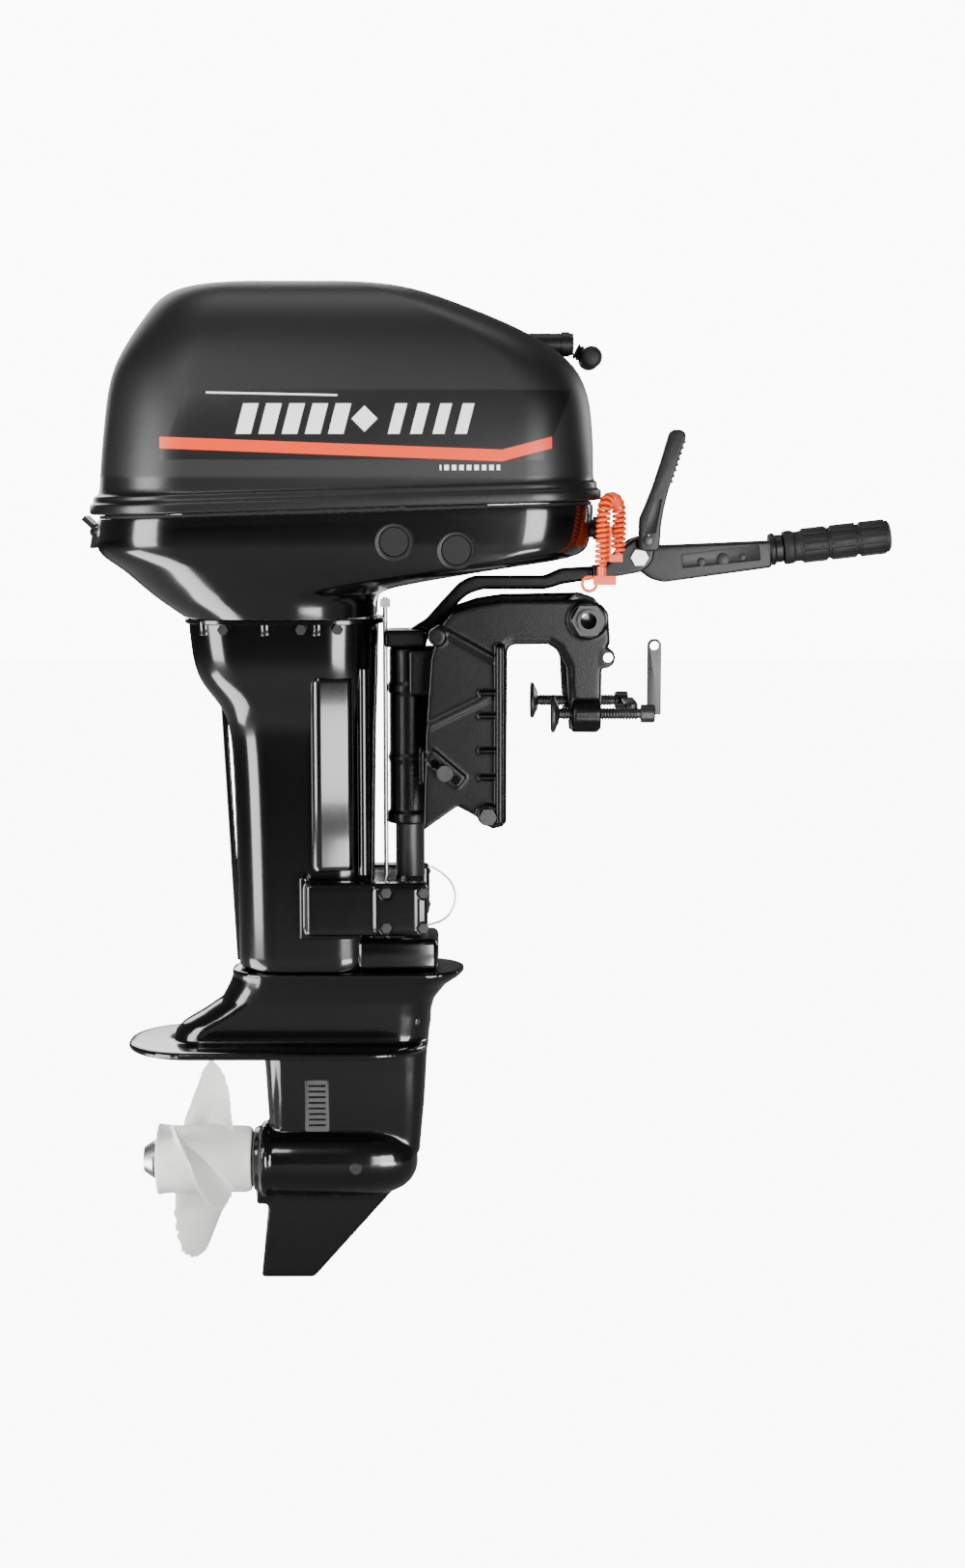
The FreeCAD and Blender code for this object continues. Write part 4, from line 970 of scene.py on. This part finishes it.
class OUTBOARD_OT_gearcase(bpy.types.Operator):
    """Gearcase casting with its plate, torpedo and skeg"""

    bl_idname = "outboard.gearcase"
    bl_label = "Gearcase"

    def execute(self, context):
        bm = bmesh.new()
        neck = (
            (-282, -40, 46, 44, 40, -346.6), (-281, -38.5, 46.4, 44, 40, -349.0),
            (-280.5, -44, 44.5, 42, 38, -354.5), (-284, -58, 41.5, 40, 36, -364.0),
            (-292, -70, 38, 36, 34, -379.0), (-311, -73.5, 36.6, 35, 34, -392.0),
            (-333, -74, 35.4, 34, 34, -405.0),
            (-341, -75.5, 34.6, 33, 33, -414.0), (-345, -77, 34, 32, 32, -430.0),
        )
        skin(bm, [rounded_ring(bm, *ring) for ring in neck])
        plate = (
            (-386, -81, 71, 66, 57, -422.9), (-389.4, -77.6, 74.4, 69, 59.6, -424.6),
            (-390, -77, 75, 70, 60, -427.0),
            (-389.0, -78, 74, 69, 59, -430.2), (-382, -85, 67, 63, 54, -432.2),
        )
        skin(bm, [rounded_ring(bm, *ring) for ring in plate])
        strut = (
            (-252, -76, 27, 26, 26, -426.0), (-249.6, -78, 24.6, 24, 24, -436.0),
            (-248, -79, 23, 22.6, 22.6, -456.0), (-246, -81, 21, 20.6, 20.6, -490.0),
            (-244, -84, 18.6, 18, 18, -522.0), (-243, -86, 17.4, 17, 17, -545.0),
        )
        skin(bm, [rounded_ring(bm, *ring) for ring in strut])
        torpedo = (
            (0, 0), (30.0, 0), (33.6, 1.2), (34.6, 5), (36.2, 14), (37.8, 26), (38.5, 42), (38.5, 104),
            (38.0, 124), (36.4, 137),
            (33.4, 148), (28.6, 158), (22.0, 165.6), (13.6, 170.6), (6.0, 172.6), (0, 173),
        )
        lathe(bm, torpedo, (-261, 0, PROPELLER_Z), (1, 0, 0), steps=72)
        lathe(
            bm, ((0, 0), (39.2, 0), (40.2, 1.2), (40.2, 6.5), (39.2, 7.6), (0, 7.6)), (-252, 0, PROPELLER_Z),
            (1, 0, 0), steps=72,
        )
        slab(
            bm, ((-99, -566), (-116, -590), (-198, -682.6), (-254.6, -682.6), (-243, -566)), -4.4, 4.4, 2.6,
            3,
        )
        block(bm, (-259, -3.6, -603), (-243, 3.6, -573), 1.6)
        made = mesh_object("gearcase_casting", bm)
        cast(made, 2.1, 5, 0.5)
        tools = bmesh.new()
        block(tools, (-206, -40, -520), (-180, -15, -464), 3.0)
        block(tools, (-206, 15, -520), (-180, 40, -464), 3.0)
        bar(tools, 20.0, 20, (-270, 0, PROPELLER_Z), (1, 0, 0), sides=48)
        carve(made, tools)
        dress(made, "gloss", "drive", "gearcase", angle=50.0)

        bm = bmesh.new()
        for side in (-1, 1):
            hex_bolt(bm, (-92, side * 27.5, -400), (0, side, 0), 5.0, 3.0)
            lathe(
                bm, ((0, 0), (6.4, 0), (6.4, 2.0), (5.6, 2.8), (2.0, 2.8), (2.0, 1.6), (0, 1.6)),
                (-152, side * 37.6, PROPELLER_Z), (0, side, 0), steps=32,
            )
        made = mesh_object("gearcase_plugs", bm)
        dress(made, "dark_steel", "drive")
        return {"FINISHED"}


class OUTBOARD_OT_propeller(bpy.types.Operator):
    """Three-blade propeller with its flared hub"""

    bl_idname = "outboard.propeller"
    bl_label = "Propeller"

    def blade(self, bm, turn, tip, pitch):
        """One blade, through turned sections from the hub to the tip."""
        sections = (
            (22.0, 66, 8.0, -1), (34.0, 84, 7.0, 0), (48.0, 99, 6.2, 1.5), (62.0, 107, 5.5, 3.2),
            (76.0, 108, 4.9, 5.4), (88.0, 102, 4.3, 8.0),
            (98.0, 80, 3.8, 10.4), (105.5, 64, 3.3, 12.6), (tip - 3.4, 44, 2.8, 14.6),
            (tip - 1.0, 25, 2.2, 15.8), (tip - 0.1, 10, 1.2, 16.4),
        )
        rings = []
        verts = []
        for radius, chord, thick, skew in sections:
            circle = bmesh.ops.create_circle(bm, segments=28, radius=1.0)
            lean = math.atan2(pitch, math.tau * radius)
            for vert in circle["verts"]:
                along = vert.co.x * chord / 2
                off = vert.co.y * thick / 2 * (1.0 - 0.55 * abs(vert.co.x)) + 3.0 * (vert.co.x ** 2 - 0.5)
                x = -(along * math.sin(lean) + off * math.cos(lean)) - 0.4 * skew
                y = along * math.cos(lean) - off * math.sin(lean) + skew
                height = radius
                if radius < 60:
                    height = math.sqrt(max(1.0, radius ** 2 - min(y * y, (radius * 0.72) ** 2)))
                vert.co = (x, y, height)
            verts += circle["verts"]
            rings.append(list({e for v in circle["verts"] for e in v.link_edges}))
        skin(bm, rings)
        bmesh.ops.rotate(bm, verts=verts, cent=(0, 0, 0), matrix=Matrix.Rotation(-math.radians(turn), 3, "X"))
        bmesh.ops.translate(bm, verts=verts, vec=(-312, 0, PROPELLER_Z))

    def execute(self, context):
        sizes = settings("propeller")
        bm = bmesh.new()
        hub = (
            (5.9, 0), (31.0, 0), (33.0, 1.0), (34.4, 4.0), (35.0, 9.0), (35.0, 70), (35.3, 82), (36.2, 93),
            (37.4, 98.2), (37.0, 99.0),
            (34.0, 99.0), (32.6, 94), (31.0, 62), (14.0, 60), (14.0, 98), (12.0, 98.6), (6.0, 98), (5.9, 0),
        )
        lathe(bm, hub, (-262.5, 0, PROPELLER_Z), (-1, 0, 0), steps=72)
        for i in range(sizes.blades):
            self.blade(bm, 35.0 + 360.0 / sizes.blades * i, sizes.radius / MM, sizes.pitch / MM)
        for i in range(4):
            matrix = Matrix.Rotation(math.radians(45 + 90 * i), 4, "X")
            made = bmesh.ops.create_cube(bm, size=1.0, matrix=Matrix.Diagonal((38, 3.4, 20, 1)))
            bmesh.ops.translate(bm, verts=made["verts"], vec=(-341, 0, 23))
            bmesh.ops.transform(
                bm, verts=made["verts"], matrix=Matrix.Translation((0, 0, PROPELLER_Z)) @ matrix,
            )
        made = mesh_object("propeller_casting", bm)
        cast(made, 1.3, 5, 0.5)
        dress(made, "propeller", "screw_shaft", "propeller", angle=60.0)
        return {"FINISHED"}


# ---------------------------------------------------------------- clamp, swivel and steering


class OUTBOARD_OT_brackets(bpy.types.Operator):
    """Two clamp brackets, the swivel bracket and the steering arm"""

    bl_idname = "outboard.brackets"
    bl_label = "Brackets"

    def clamp(self, side):
        """A hooked clamp bracket with its edge bead, bosses, ribs and row of tilt pin holes."""
        outline = (
            (-52, 24), (-26, 33), (0, 37), (84, 38), (98, 33), (104, 26), (106, -3), (98, -15), (97, -92),
            (71, -92), (68, -27), (58, -7),
            (47, 0), (10, 0), (3, -3), (0, -10), (0, -188), (-12, -191), (-16, -184), (-45, -168),
            (-80, -193), (-77, -90), (-72, -20), (-64, 8),
        )
        middle = side * BRACKET_MIDDLE
        bm = bmesh.new()
        slab(bm, outline, middle - 4.5, middle + 4.5, 1.6)
        corners = [Vector((x, 0, z)) for x, z in outline]
        inside = Vector((10, 0, -40))
        bead = [corner + (inside - corner).normalized() * 2.6 for corner in corners]
        for a, b in zip(bead, bead[1:] + bead[:1]):
            if a.x >= -40 or b.x >= -40:
                bar(bm, 3.6, (b - a).length, (a.x, middle, a.z), b - a, sides=12)
        bosses = ((TILT_X, TILT_Z, 18.6, 58, 88), (TIE_BOLT_X, TIE_BOLT_Z, 11, 66, 84), (-66, 2, 9, 68, 84))
        for x, z, radius, low, high in bosses:
            near, far = sorted((side * low, side * high))
            bar(bm, radius, far - near, (x, near, z), (0, 1, 0), sides=48, bevel=1.6)
        side_block(bm, side, (-7, 55, -184), (0, 97, -6), 2.0)
        bar(bm, 14.6, 28, (70, middle, SCREW_HEIGHT), (1, 0, 0), sides=40, bevel=1.6)
        for z in (-54, -77, -112, -139):
            side_block(bm, side, (-24, 79.4, z - 1.8), (-1, 85.2, z + 1.8), 1.0, 2)
        slab(
            bm, ((-79.6, -121), (-70.4, -109.6), (-36.4, -138.6), (-45.6, -150)), middle - 6.6, middle + 6.6,
            1.6,
        )
        slab(bm, ((-70, 10), (-64, 14), (-6, -18), (-6, -26)), middle - 6.4, middle + 6.4, 1.4)
        slab(bm, ((-76, -84), (-76, -92), (-10, -60), (-10, -52)), middle - 6.2, middle + 6.2, 1.4)
        if side < 0:
            eye = ((96, -8), (104, -8.6), (110, -12), (112.4, -19), (110, -26), (104, -29.4), (96, -30))
            slab(bm, eye, -80.6, -71.4, 1.4)
        made = mesh_object("clamp_casting_near" if side < 0 else "clamp_casting_far", bm)
        cast(made, 1.35, 3, 0.5)
        tools = bmesh.new()
        bar(tools, 11.0, 60, (TILT_X, middle - 30, TILT_Z), (0, 1, 0), sides=40)
        bar(tools, 6.2, 50, (60, middle, SCREW_HEIGHT), (1, 0, 0), sides=32)
        bar(tools, 5.0, 60, (TIE_BOLT_X, middle - 30, TIE_BOLT_Z), (0, 1, 0), sides=24)
        for step in (-1, 0, 1):
            bar(tools, 4.6, 60, (-58 + 10.5 * step, middle - 30, -133 - 8 * step), (0, 1, 0), sides=28)
        if side < 0:
            bar(tools, 5.0, 60, (105, -106, -19), (0, 1, 0), sides=28)
        carve(made, tools)
        node = "clamp_bracket_starboard" if side < 0 else "clamp_bracket_port"
        dress(made, "casting", "clamp", node, angle=42.0)

    def swivel(self):
        """The swivel tube with its bands, its two arms up to the tilt tube, and its ribs."""
        bm = bmesh.new()
        bar(bm, 21.0, 182, (STEERING_X, 0, -195), sides=64, bevel=2.0)
        for z, height, radius in ((-195, 12, 23.4), (-60, 10, 22.6), (-130, 6, 22.4)):
            bar(bm, radius, height, (STEERING_X, 0, z), sides=64, bevel=1.2)
        arm = (
            (84, 33.6), (40, 33), (10, 30.6), (-10, 25), (-28, 17), (-44, 0), (-56, -14), (-95, -14),
            (-95, -60), (-66, -60), (-36, -28), (-8, 3), (84, 3),
        )
        plates(bm, arm, (-35, 35), 5, 2.4)
        slab(bm, arm[:7] + ((-60, -22), (-36, -8), (-10, 12), (84, 18)), -34, 34, 1.0)
        rib = (
            (-95, -20), (-30, -20), (-9, 3), (-9, -14), (-34, -62), (-62, -112), (-63, -150), (-80, -190),
            (-95, -190),
        )
        plates(bm, rib, (-10, 10), 3, 1.4)
        slab(bm, ((-90, -30), (-34, -30), (-60, -108), (-90, -150)), -7, 7, 1.0)
        block(bm, (-83, -38, -151), (-63, 38, -115), 3.0)
        bar(bm, 18.0, 113, (TILT_X, -56.5, TILT_Z), (0, 1, 0), sides=56, bevel=1.6)
        made = mesh_object("swivel_casting", bm)
        cast(made, 1.7, 3, 0.5)
        tools = bmesh.new()
        bar(tools, 17.4, 220, (STEERING_X, 0, -210), sides=64)
        bar(tools, 11.05, 130, (TILT_X, -65, TILT_Z), (0, 1, 0), sides=40)
        carve(made, tools)
        dress(made, "casting", "swivel", "swivel_bracket", angle=42.0)

    def steering(self):
        """The steering arm with its two tiller cheeks, and the pilot shaft below it."""
        bm = bmesh.new()
        block(bm, (-120.6, -28, -12.3), (-77, 28, 5.3), 4.0, 4)
        arm = (
            (-104, -10), (-94, 6), (-78, 16), (-62, 34), (-45, 52), (-36, 57.4), (-28, 60), (43, 60),
            (60, 67.6), (104, 70), (104, 58),
            (60, 51), (52, 48), (43, 46), (-20, 46), (-35, 41), (-44, 33), (-52, 24), (-62, 13), (-72, 2),
            (-79, -10),
        )
        slab(bm, arm, -10, 10, 3.2, 4)
        cheek = (
            (92, 57), (118, 60), (140, 64), (148, 69), (153, 76), (155, 88), (154, 97), (150, 100),
            (140, 100), (131, 97),
            (122, 90), (112, 80), (104, 71), (92, 70),
        )
        plates(bm, cheek, (-21, 21), 4, 1.6)
        block(bm, (92, -25, 57.5), (104, 25, 69.5), 2.0)
        made = mesh_object("steering_casting", bm)
        cast(made, 1.35, 3, 0.5)
        parts = bmesh.new()
        bar(parts, 15.0, 237.5, (STEERING_X, 0, -250), sides=64, bevel=1.0)
        bar(parts, 5.0, 24, (LEVER_X, -48, LEVER_Z), (0, 1, 0), sides=32, bevel=0.6)
        shaft = mesh_object("steering_pilot", parts)
        dress(shaft, "dark_steel", "drive")
        tools = bmesh.new()
        bar(tools, 5.1, 80, (TILLER_X, -40, TILLER_BOLT_Z), (0, 1, 0), sides=32)
        carve(made, tools)
        dress(made, "casting", "drive", "steering_bracket", angle=42.0)

    def execute(self, context):
        for side in (-1, 1):
            self.clamp(side)
        self.swivel()
        self.steering()
        return {"FINISHED"}


class OUTBOARD_OT_clamp_screws(bpy.types.Operator):
    """Threaded clamp screws with their pads and folding handles"""

    bl_idname = "outboard.clamp_screws"
    bl_label = "Clamp screws"

    def thread(self, bm, start, y, z, turns, lead=3.0, steps=20):
        """A true helical thread along +X from a start."""
        profile = ((0, 4.9), (lead * 0.32, 6.0), (lead * 0.55, 6.0), (lead, 4.9))
        verts = [bm.verts.new((start + x, y, z + radius)) for x, radius in profile]
        edges = [bm.edges.new(pair) for pair in zip(verts, verts[1:])]
        bmesh.ops.spin(
            bm, geom=verts + edges, cent=(start, y, z), axis=(1, 0, 0), dvec=(lead / steps, 0, 0),
            angle=math.tau * turns,
            steps=steps * turns, use_merge=False, use_duplicate=False,
        )

    def one_set(self, side, name, pad_x, upright):
        """Pad, threaded screw, fork and folding handle of one clamp."""
        y = side * BRACKET_MIDDLE
        bm = bmesh.new()
        pad = (
            (0, 0), (17.6, 0), (18.8, 0.6), (19, 1.8), (18.8, 3.4), (17.6, 4.2), (12.4, 6.4), (9.6, 8.0),
            (7.6, 8.0), (7.4, 3.2), (0, 3.2),
        )
        lathe(bm, pad, (pad_x, y, SCREW_HEIGHT), (1, 0, 0), steps=56)
        made = mesh_object("pad_" + name, bm)
        dress(made, "dark_steel", "pad_" + name, "clamp_pad_" + name)

        bm = bmesh.new()
        lathe(
            bm, ((0, 0), (6.4, 0), (6.9, 0.8), (6.9, 4.0), (5.2, 5.4), (0, 5.4)),
            (pad_x + 3.4, y, SCREW_HEIGHT), (1, 0, 0), steps=32,
        )
        bar(bm, 5.0, 86, (pad_x + 8, y, SCREW_HEIGHT), (1, 0, 0), sides=24)
        self.thread(bm, pad_x + 10, y, SCREW_HEIGHT, 25)
        made = mesh_object("thread_" + name, bm)
        dress(made, "dark_steel", "screw_" + name, "clamp_screw_" + name)

        bm = bmesh.new()
        lathe(
            bm, ((0, 0), (8.4, 0), (9.5, 1.2), (9.5, 12.6), (8.2, 14.0), (0, 14.0)),
            (pad_x + 90, y, SCREW_HEIGHT), (1, 0, 0), steps=40,
        )
        fork = mesh_object("fork_" + name, bm)
        tools = bmesh.new()
        block(tools, (pad_x + 91.5, y - 3.3, -90), (pad_x + 112, y + 3.3, -60))
        carve(fork, tools)
        dress(fork, "dark_steel", "screw_" + name)

        bm = bmesh.new()
        handle = (
            (pad_x + 96, -76), (pad_x + 110, -76), (pad_x + 110, -5), (pad_x + 107.5, -1.2), (pad_x + 103, 0),
            (pad_x + 98.5, -1.2),
            (pad_x + 96, -5),
        )
        slab(bm, handle, y - 3, y + 3, 1.2)
        bar(bm, 5.5, 6, (pad_x + 98, y - 3, SCREW_HEIGHT), (0, 1, 0), sides=32, bevel=0.8)
        bar(bm, 2.5, 18.6, (pad_x + 98, y - 9.3, SCREW_HEIGHT), (0, 1, 0), sides=24, bevel=0.5)
        made = mesh_object("handle_" + name + "_bar", bm)
        tools = bmesh.new()
        bar(tools, 4.5, 20, (pad_x + 103, y - 10, -7), (0, 1, 0), sides=32)
        carve(made, tools)
        if not upright:
            centre = Matrix.Translation(Vector((0, y, SCREW_HEIGHT)) * MM)
            for piece in (fork, made):
                piece.data.transform(centre @ Matrix.Rotation(math.pi / 2, 4, "X") @ centre.inverted())
        dress(made, "dark_steel", "handle_" + name, "clamp_handle_" + name)

    def execute(self, context):
        self.one_set(-1, "starboard", 48.0, True)
        self.one_set(1, "port", 31.0, False)
        return {"FINISHED"}


# ---------------------------------------------------------------- controls


class OUTBOARD_OT_controls(bpy.types.Operator):
    """Tiller arm, twist grip, shift lever and starter handle"""

    bl_idname = "outboard.controls"
    bl_label = "Controls"

    lean = math.radians(6.5)

    def along(self, distance, off=0.0, side=0.0):
        """A point on the tiller's own line through its pivot."""
        run, rise = math.cos(self.lean), math.sin(self.lean)
        return Vector((TILLER_X + distance * run - off * rise, side, TILLER_Z + distance * rise + off * run))

    def tiller(self):
        """The tiller beam with its side recesses, and the collar that the grip turns on."""
        beam = 137
        x_b = TILLER_X + beam * math.cos(self.lean)
        z_b = TILLER_BOLT_Z + beam * math.sin(self.lean)
        outline = (
            (139, 66), (131, 70), (127, 79), (131, 87), (139, 91), (152, 91.4), (165, 91), (x_b, z_b + 1),
            (x_b, z_b - 26),
            (165, 53.4), (152, 56.4),
        )
        bm = bmesh.new()
        slab(bm, outline, -16, 16, 3.0, 4)
        made = mesh_object("tiller_beam", bm)
        tools = bmesh.new()
        corners = [self.along(distance, off) for distance, off in ((44, -8), (44, 6), (124, 7), (124, -9))]
        recess = [(corner.x, corner.z) for corner in corners]
        for side in (-1, 1):
            slab(tools, recess, side * 18.1 - 3.9, side * 18.1 + 3.9, 1.2, 2)
        bar(tools, 5.1, 80, (TILLER_X, -40, TILLER_BOLT_Z), (0, 1, 0), sides=32)
        carve(made, tools)
        dress(made, "moulding", "tiller", "tiller_arm", angle=38.0)
        bm = bmesh.new()
        direction = (math.cos(self.lean), 0, math.sin(self.lean))
        collar = (
            (0, 0), (15.6, 0), (16.4, 1.2), (16.4, 4.6), (15.4, 5.8), (14.2, 6.4), (14.2, 12.6), (0, 12.6),
        )
        lathe(bm, collar, self.along(135.6), direction, steps=56)
        for middle, wide in ((64, 9), (86, 13), (106, 7)):
            for side in (-1, 1):
                at = self.along(middle, -4.0, side * 13.6)
                bar(bm, wide / 2, 1.7, at, (0, side, 0), sides=20, bevel=0.5)
        made = mesh_object("tiller_collar", bm)
        dress(made, "moulding", "tiller")

    def grip(self):
        """The twist grip with its rows of raised pads and its row of growing ticks."""
        direction = (math.cos(self.lean), 0, math.sin(self.lean))
        bm = bmesh.new()
        profile = (
            (14.6, 0), (16.2, 0), (17.0, 1.0), (17.0, 9.0), (16.0, 10.0), (15.4, 12.0), (15.4, 17.0),
            (16.4, 19.0), (16.6, 44.6), (15.6, 45.4), (15.6, 47.4),
            (16.6, 48.2), (16.6, 74.6), (15.6, 75.4), (15.6, 77.4), (16.6, 78.2), (16.6, 104.0),
            (16.0, 107.6), (13.4, 109.6), (6.0, 110.0), (0, 110.0),
        )
        lathe(bm, profile, self.along(150), direction, steps=64)
        matrix = turn_matrix(self.along(150), direction)
        for start, length in ((19.6, 24.4), (48.8, 25.2), (78.8, 25.6)):
            for i in range(14):
                spin = matrix @ Matrix.Rotation(math.tau * i / 14, 4, "Z")
                pad = Matrix.Translation((16.2, 0, start + length / 2)) @ Matrix.Diagonal(
                    (3.2, 5.7, length, 1.0),
                )
                corners = bmesh.ops.create_cube(bm, size=1.0, matrix=pad)["verts"]
                shaped = soften(bm, edges_of(corners), 1.0, 2)
                grown = {vert for face in shaped["faces"] for vert in face.verts}
                verts = list(grown | {vert for vert in corners if vert.is_valid})
                bmesh.ops.transform(bm, verts=verts, matrix=spin)
        for i in range(7):
            spin = matrix @ Matrix.Rotation(math.radians(66 + 8 * i), 4, "Z")
            tick = Matrix.Translation((17.0, 0, 5.0)) @ Matrix.Diagonal((0.7, 1.0, 2.2 + 0.7 * i, 1.0))
            bmesh.ops.create_cube(bm, size=1.0, matrix=spin @ tick)
        made = mesh_object("twist_grip", bm)
        dress(made, "grip", "grip", "throttle_grip", angle=40.0)

    def lever(self):
        """The shift lever with the ribs of its thumb rest."""
        outline = (
            (137, 89), (140, 86), (155, 86), (158, 89), (159.4, 112), (162, 128), (166, 145), (175, 173),
            (183.4, 199), (183, 204),
            (178, 207.4), (171, 207), (166.6, 204), (159, 178), (150, 150), (143, 132), (137, 118),
        )
        bm = bmesh.new()
        slab(bm, outline, -46, -34, 2.0, 3)
        for i in range(9):
            z = 150 + 5.6 * i
            x = 167.6 + (z - 150) * 0.318
            bar(bm, 1.6, 11.4, (x, -45.7, z), (0, 1, 0), sides=12, bevel=0.3)
        made = mesh_object("shift_handle", bm)
        tools = bmesh.new()
        bar(tools, 5.2, 40, (LEVER_X, -60, LEVER_Z), (0, 1, 0), sides=32)
        slab(
            tools, ((143, 104), (154, 104), (156, 118), (160, 138), (152, 138), (144, 116)), -52, -44.6, 0.8,
            2,
        )
        carve(made, tools)
        dress(made, "moulding", "lever", "shift_lever", angle=38.0)

    def starter(self):
        """The starter's cross handle and its ribbed neck."""
        bm = bmesh.new()
        ends = (
            (0, 0), (6.0, 0.2), (9.0, 1.6), (10.4, 4.0), (11.0, 8.0), (10.2, 20), (9.4, 38), (10.2, 56),
            (11.0, 68), (10.4, 72.0), (9.0, 74.4), (6.0, 75.8), (0, 76),
        )
        lathe(bm, ends, (89, -38, 279.5), (0, 1, 0), steps=40)
        neck = [(0, 0), (6.6, 0)]
        for i in range(5):
            neck += [(8.0, 0.6 + 3.6 * i), (8.0, 2.4 + 3.6 * i), (6.4, 3.2 + 3.6 * i), (6.4, 3.6 + 3.6 * i)]
        neck.append((0, 18.2))
        lathe(bm, neck, (74, 0, 287), (0.84, 0, -0.42), steps=32)
        made = mesh_object("pull_handle", bm)
        dress(made, "grip", "pull", "starter_handle")

    def execute(self, context):
        self.tiller()
        self.grip()
        self.lever()
        self.starter()
        return {"FINISHED"}


# ---------------------------------------------------------------- panel and run


class OUTBOARD_PT_pieces(bpy.types.Panel):
    """Lists the makers of the motor's pieces"""

    bl_idname = "OUTBOARD_PT_pieces"
    bl_label = "Outboard motor"
    bl_space_type = "VIEW_3D"
    bl_region_type = "UI"
    bl_category = "Outboard"

    def draw(self, context):
        for cls in OPERATORS:
            self.layout.operator(cls.bl_idname)


GROUPS = (
    ("paintwork", OutboardPaintwork), ("cowl", OutboardCowl), ("propeller", OutboardPropeller),
    ("cord", OutboardCord),
)
OPERATORS = (
    OUTBOARD_OT_finishes, OUTBOARD_OT_stage, OUTBOARD_OT_cords, OUTBOARD_OT_cowls, OUTBOARD_OT_leg,
    OUTBOARD_OT_gearcase,
    OUTBOARD_OT_propeller, OUTBOARD_OT_brackets, OUTBOARD_OT_clamp_screws, OUTBOARD_OT_controls,
)


def register():
    for name, group in GROUPS:
        bpy.utils.register_class(group)
        setattr(bpy.types.Scene, "outboard_" + name, PointerProperty(type=group))
    for cls in OPERATORS:
        bpy.utils.register_class(cls)
    bpy.utils.register_class(OUTBOARD_PT_pieces)


def unregister():
    bpy.utils.unregister_class(OUTBOARD_PT_pieces)
    for cls in reversed(OPERATORS):
        bpy.utils.unregister_class(cls)
    for name, group in reversed(GROUPS):
        delattr(bpy.types.Scene, "outboard_" + name)
        bpy.utils.unregister_class(group)


def main():
    register()
    for operator in OPERATORS:
        space, name = operator.bl_idname.split(".")
        getattr(getattr(bpy.ops, space), name)()


if __name__ == "__main__":
    main()
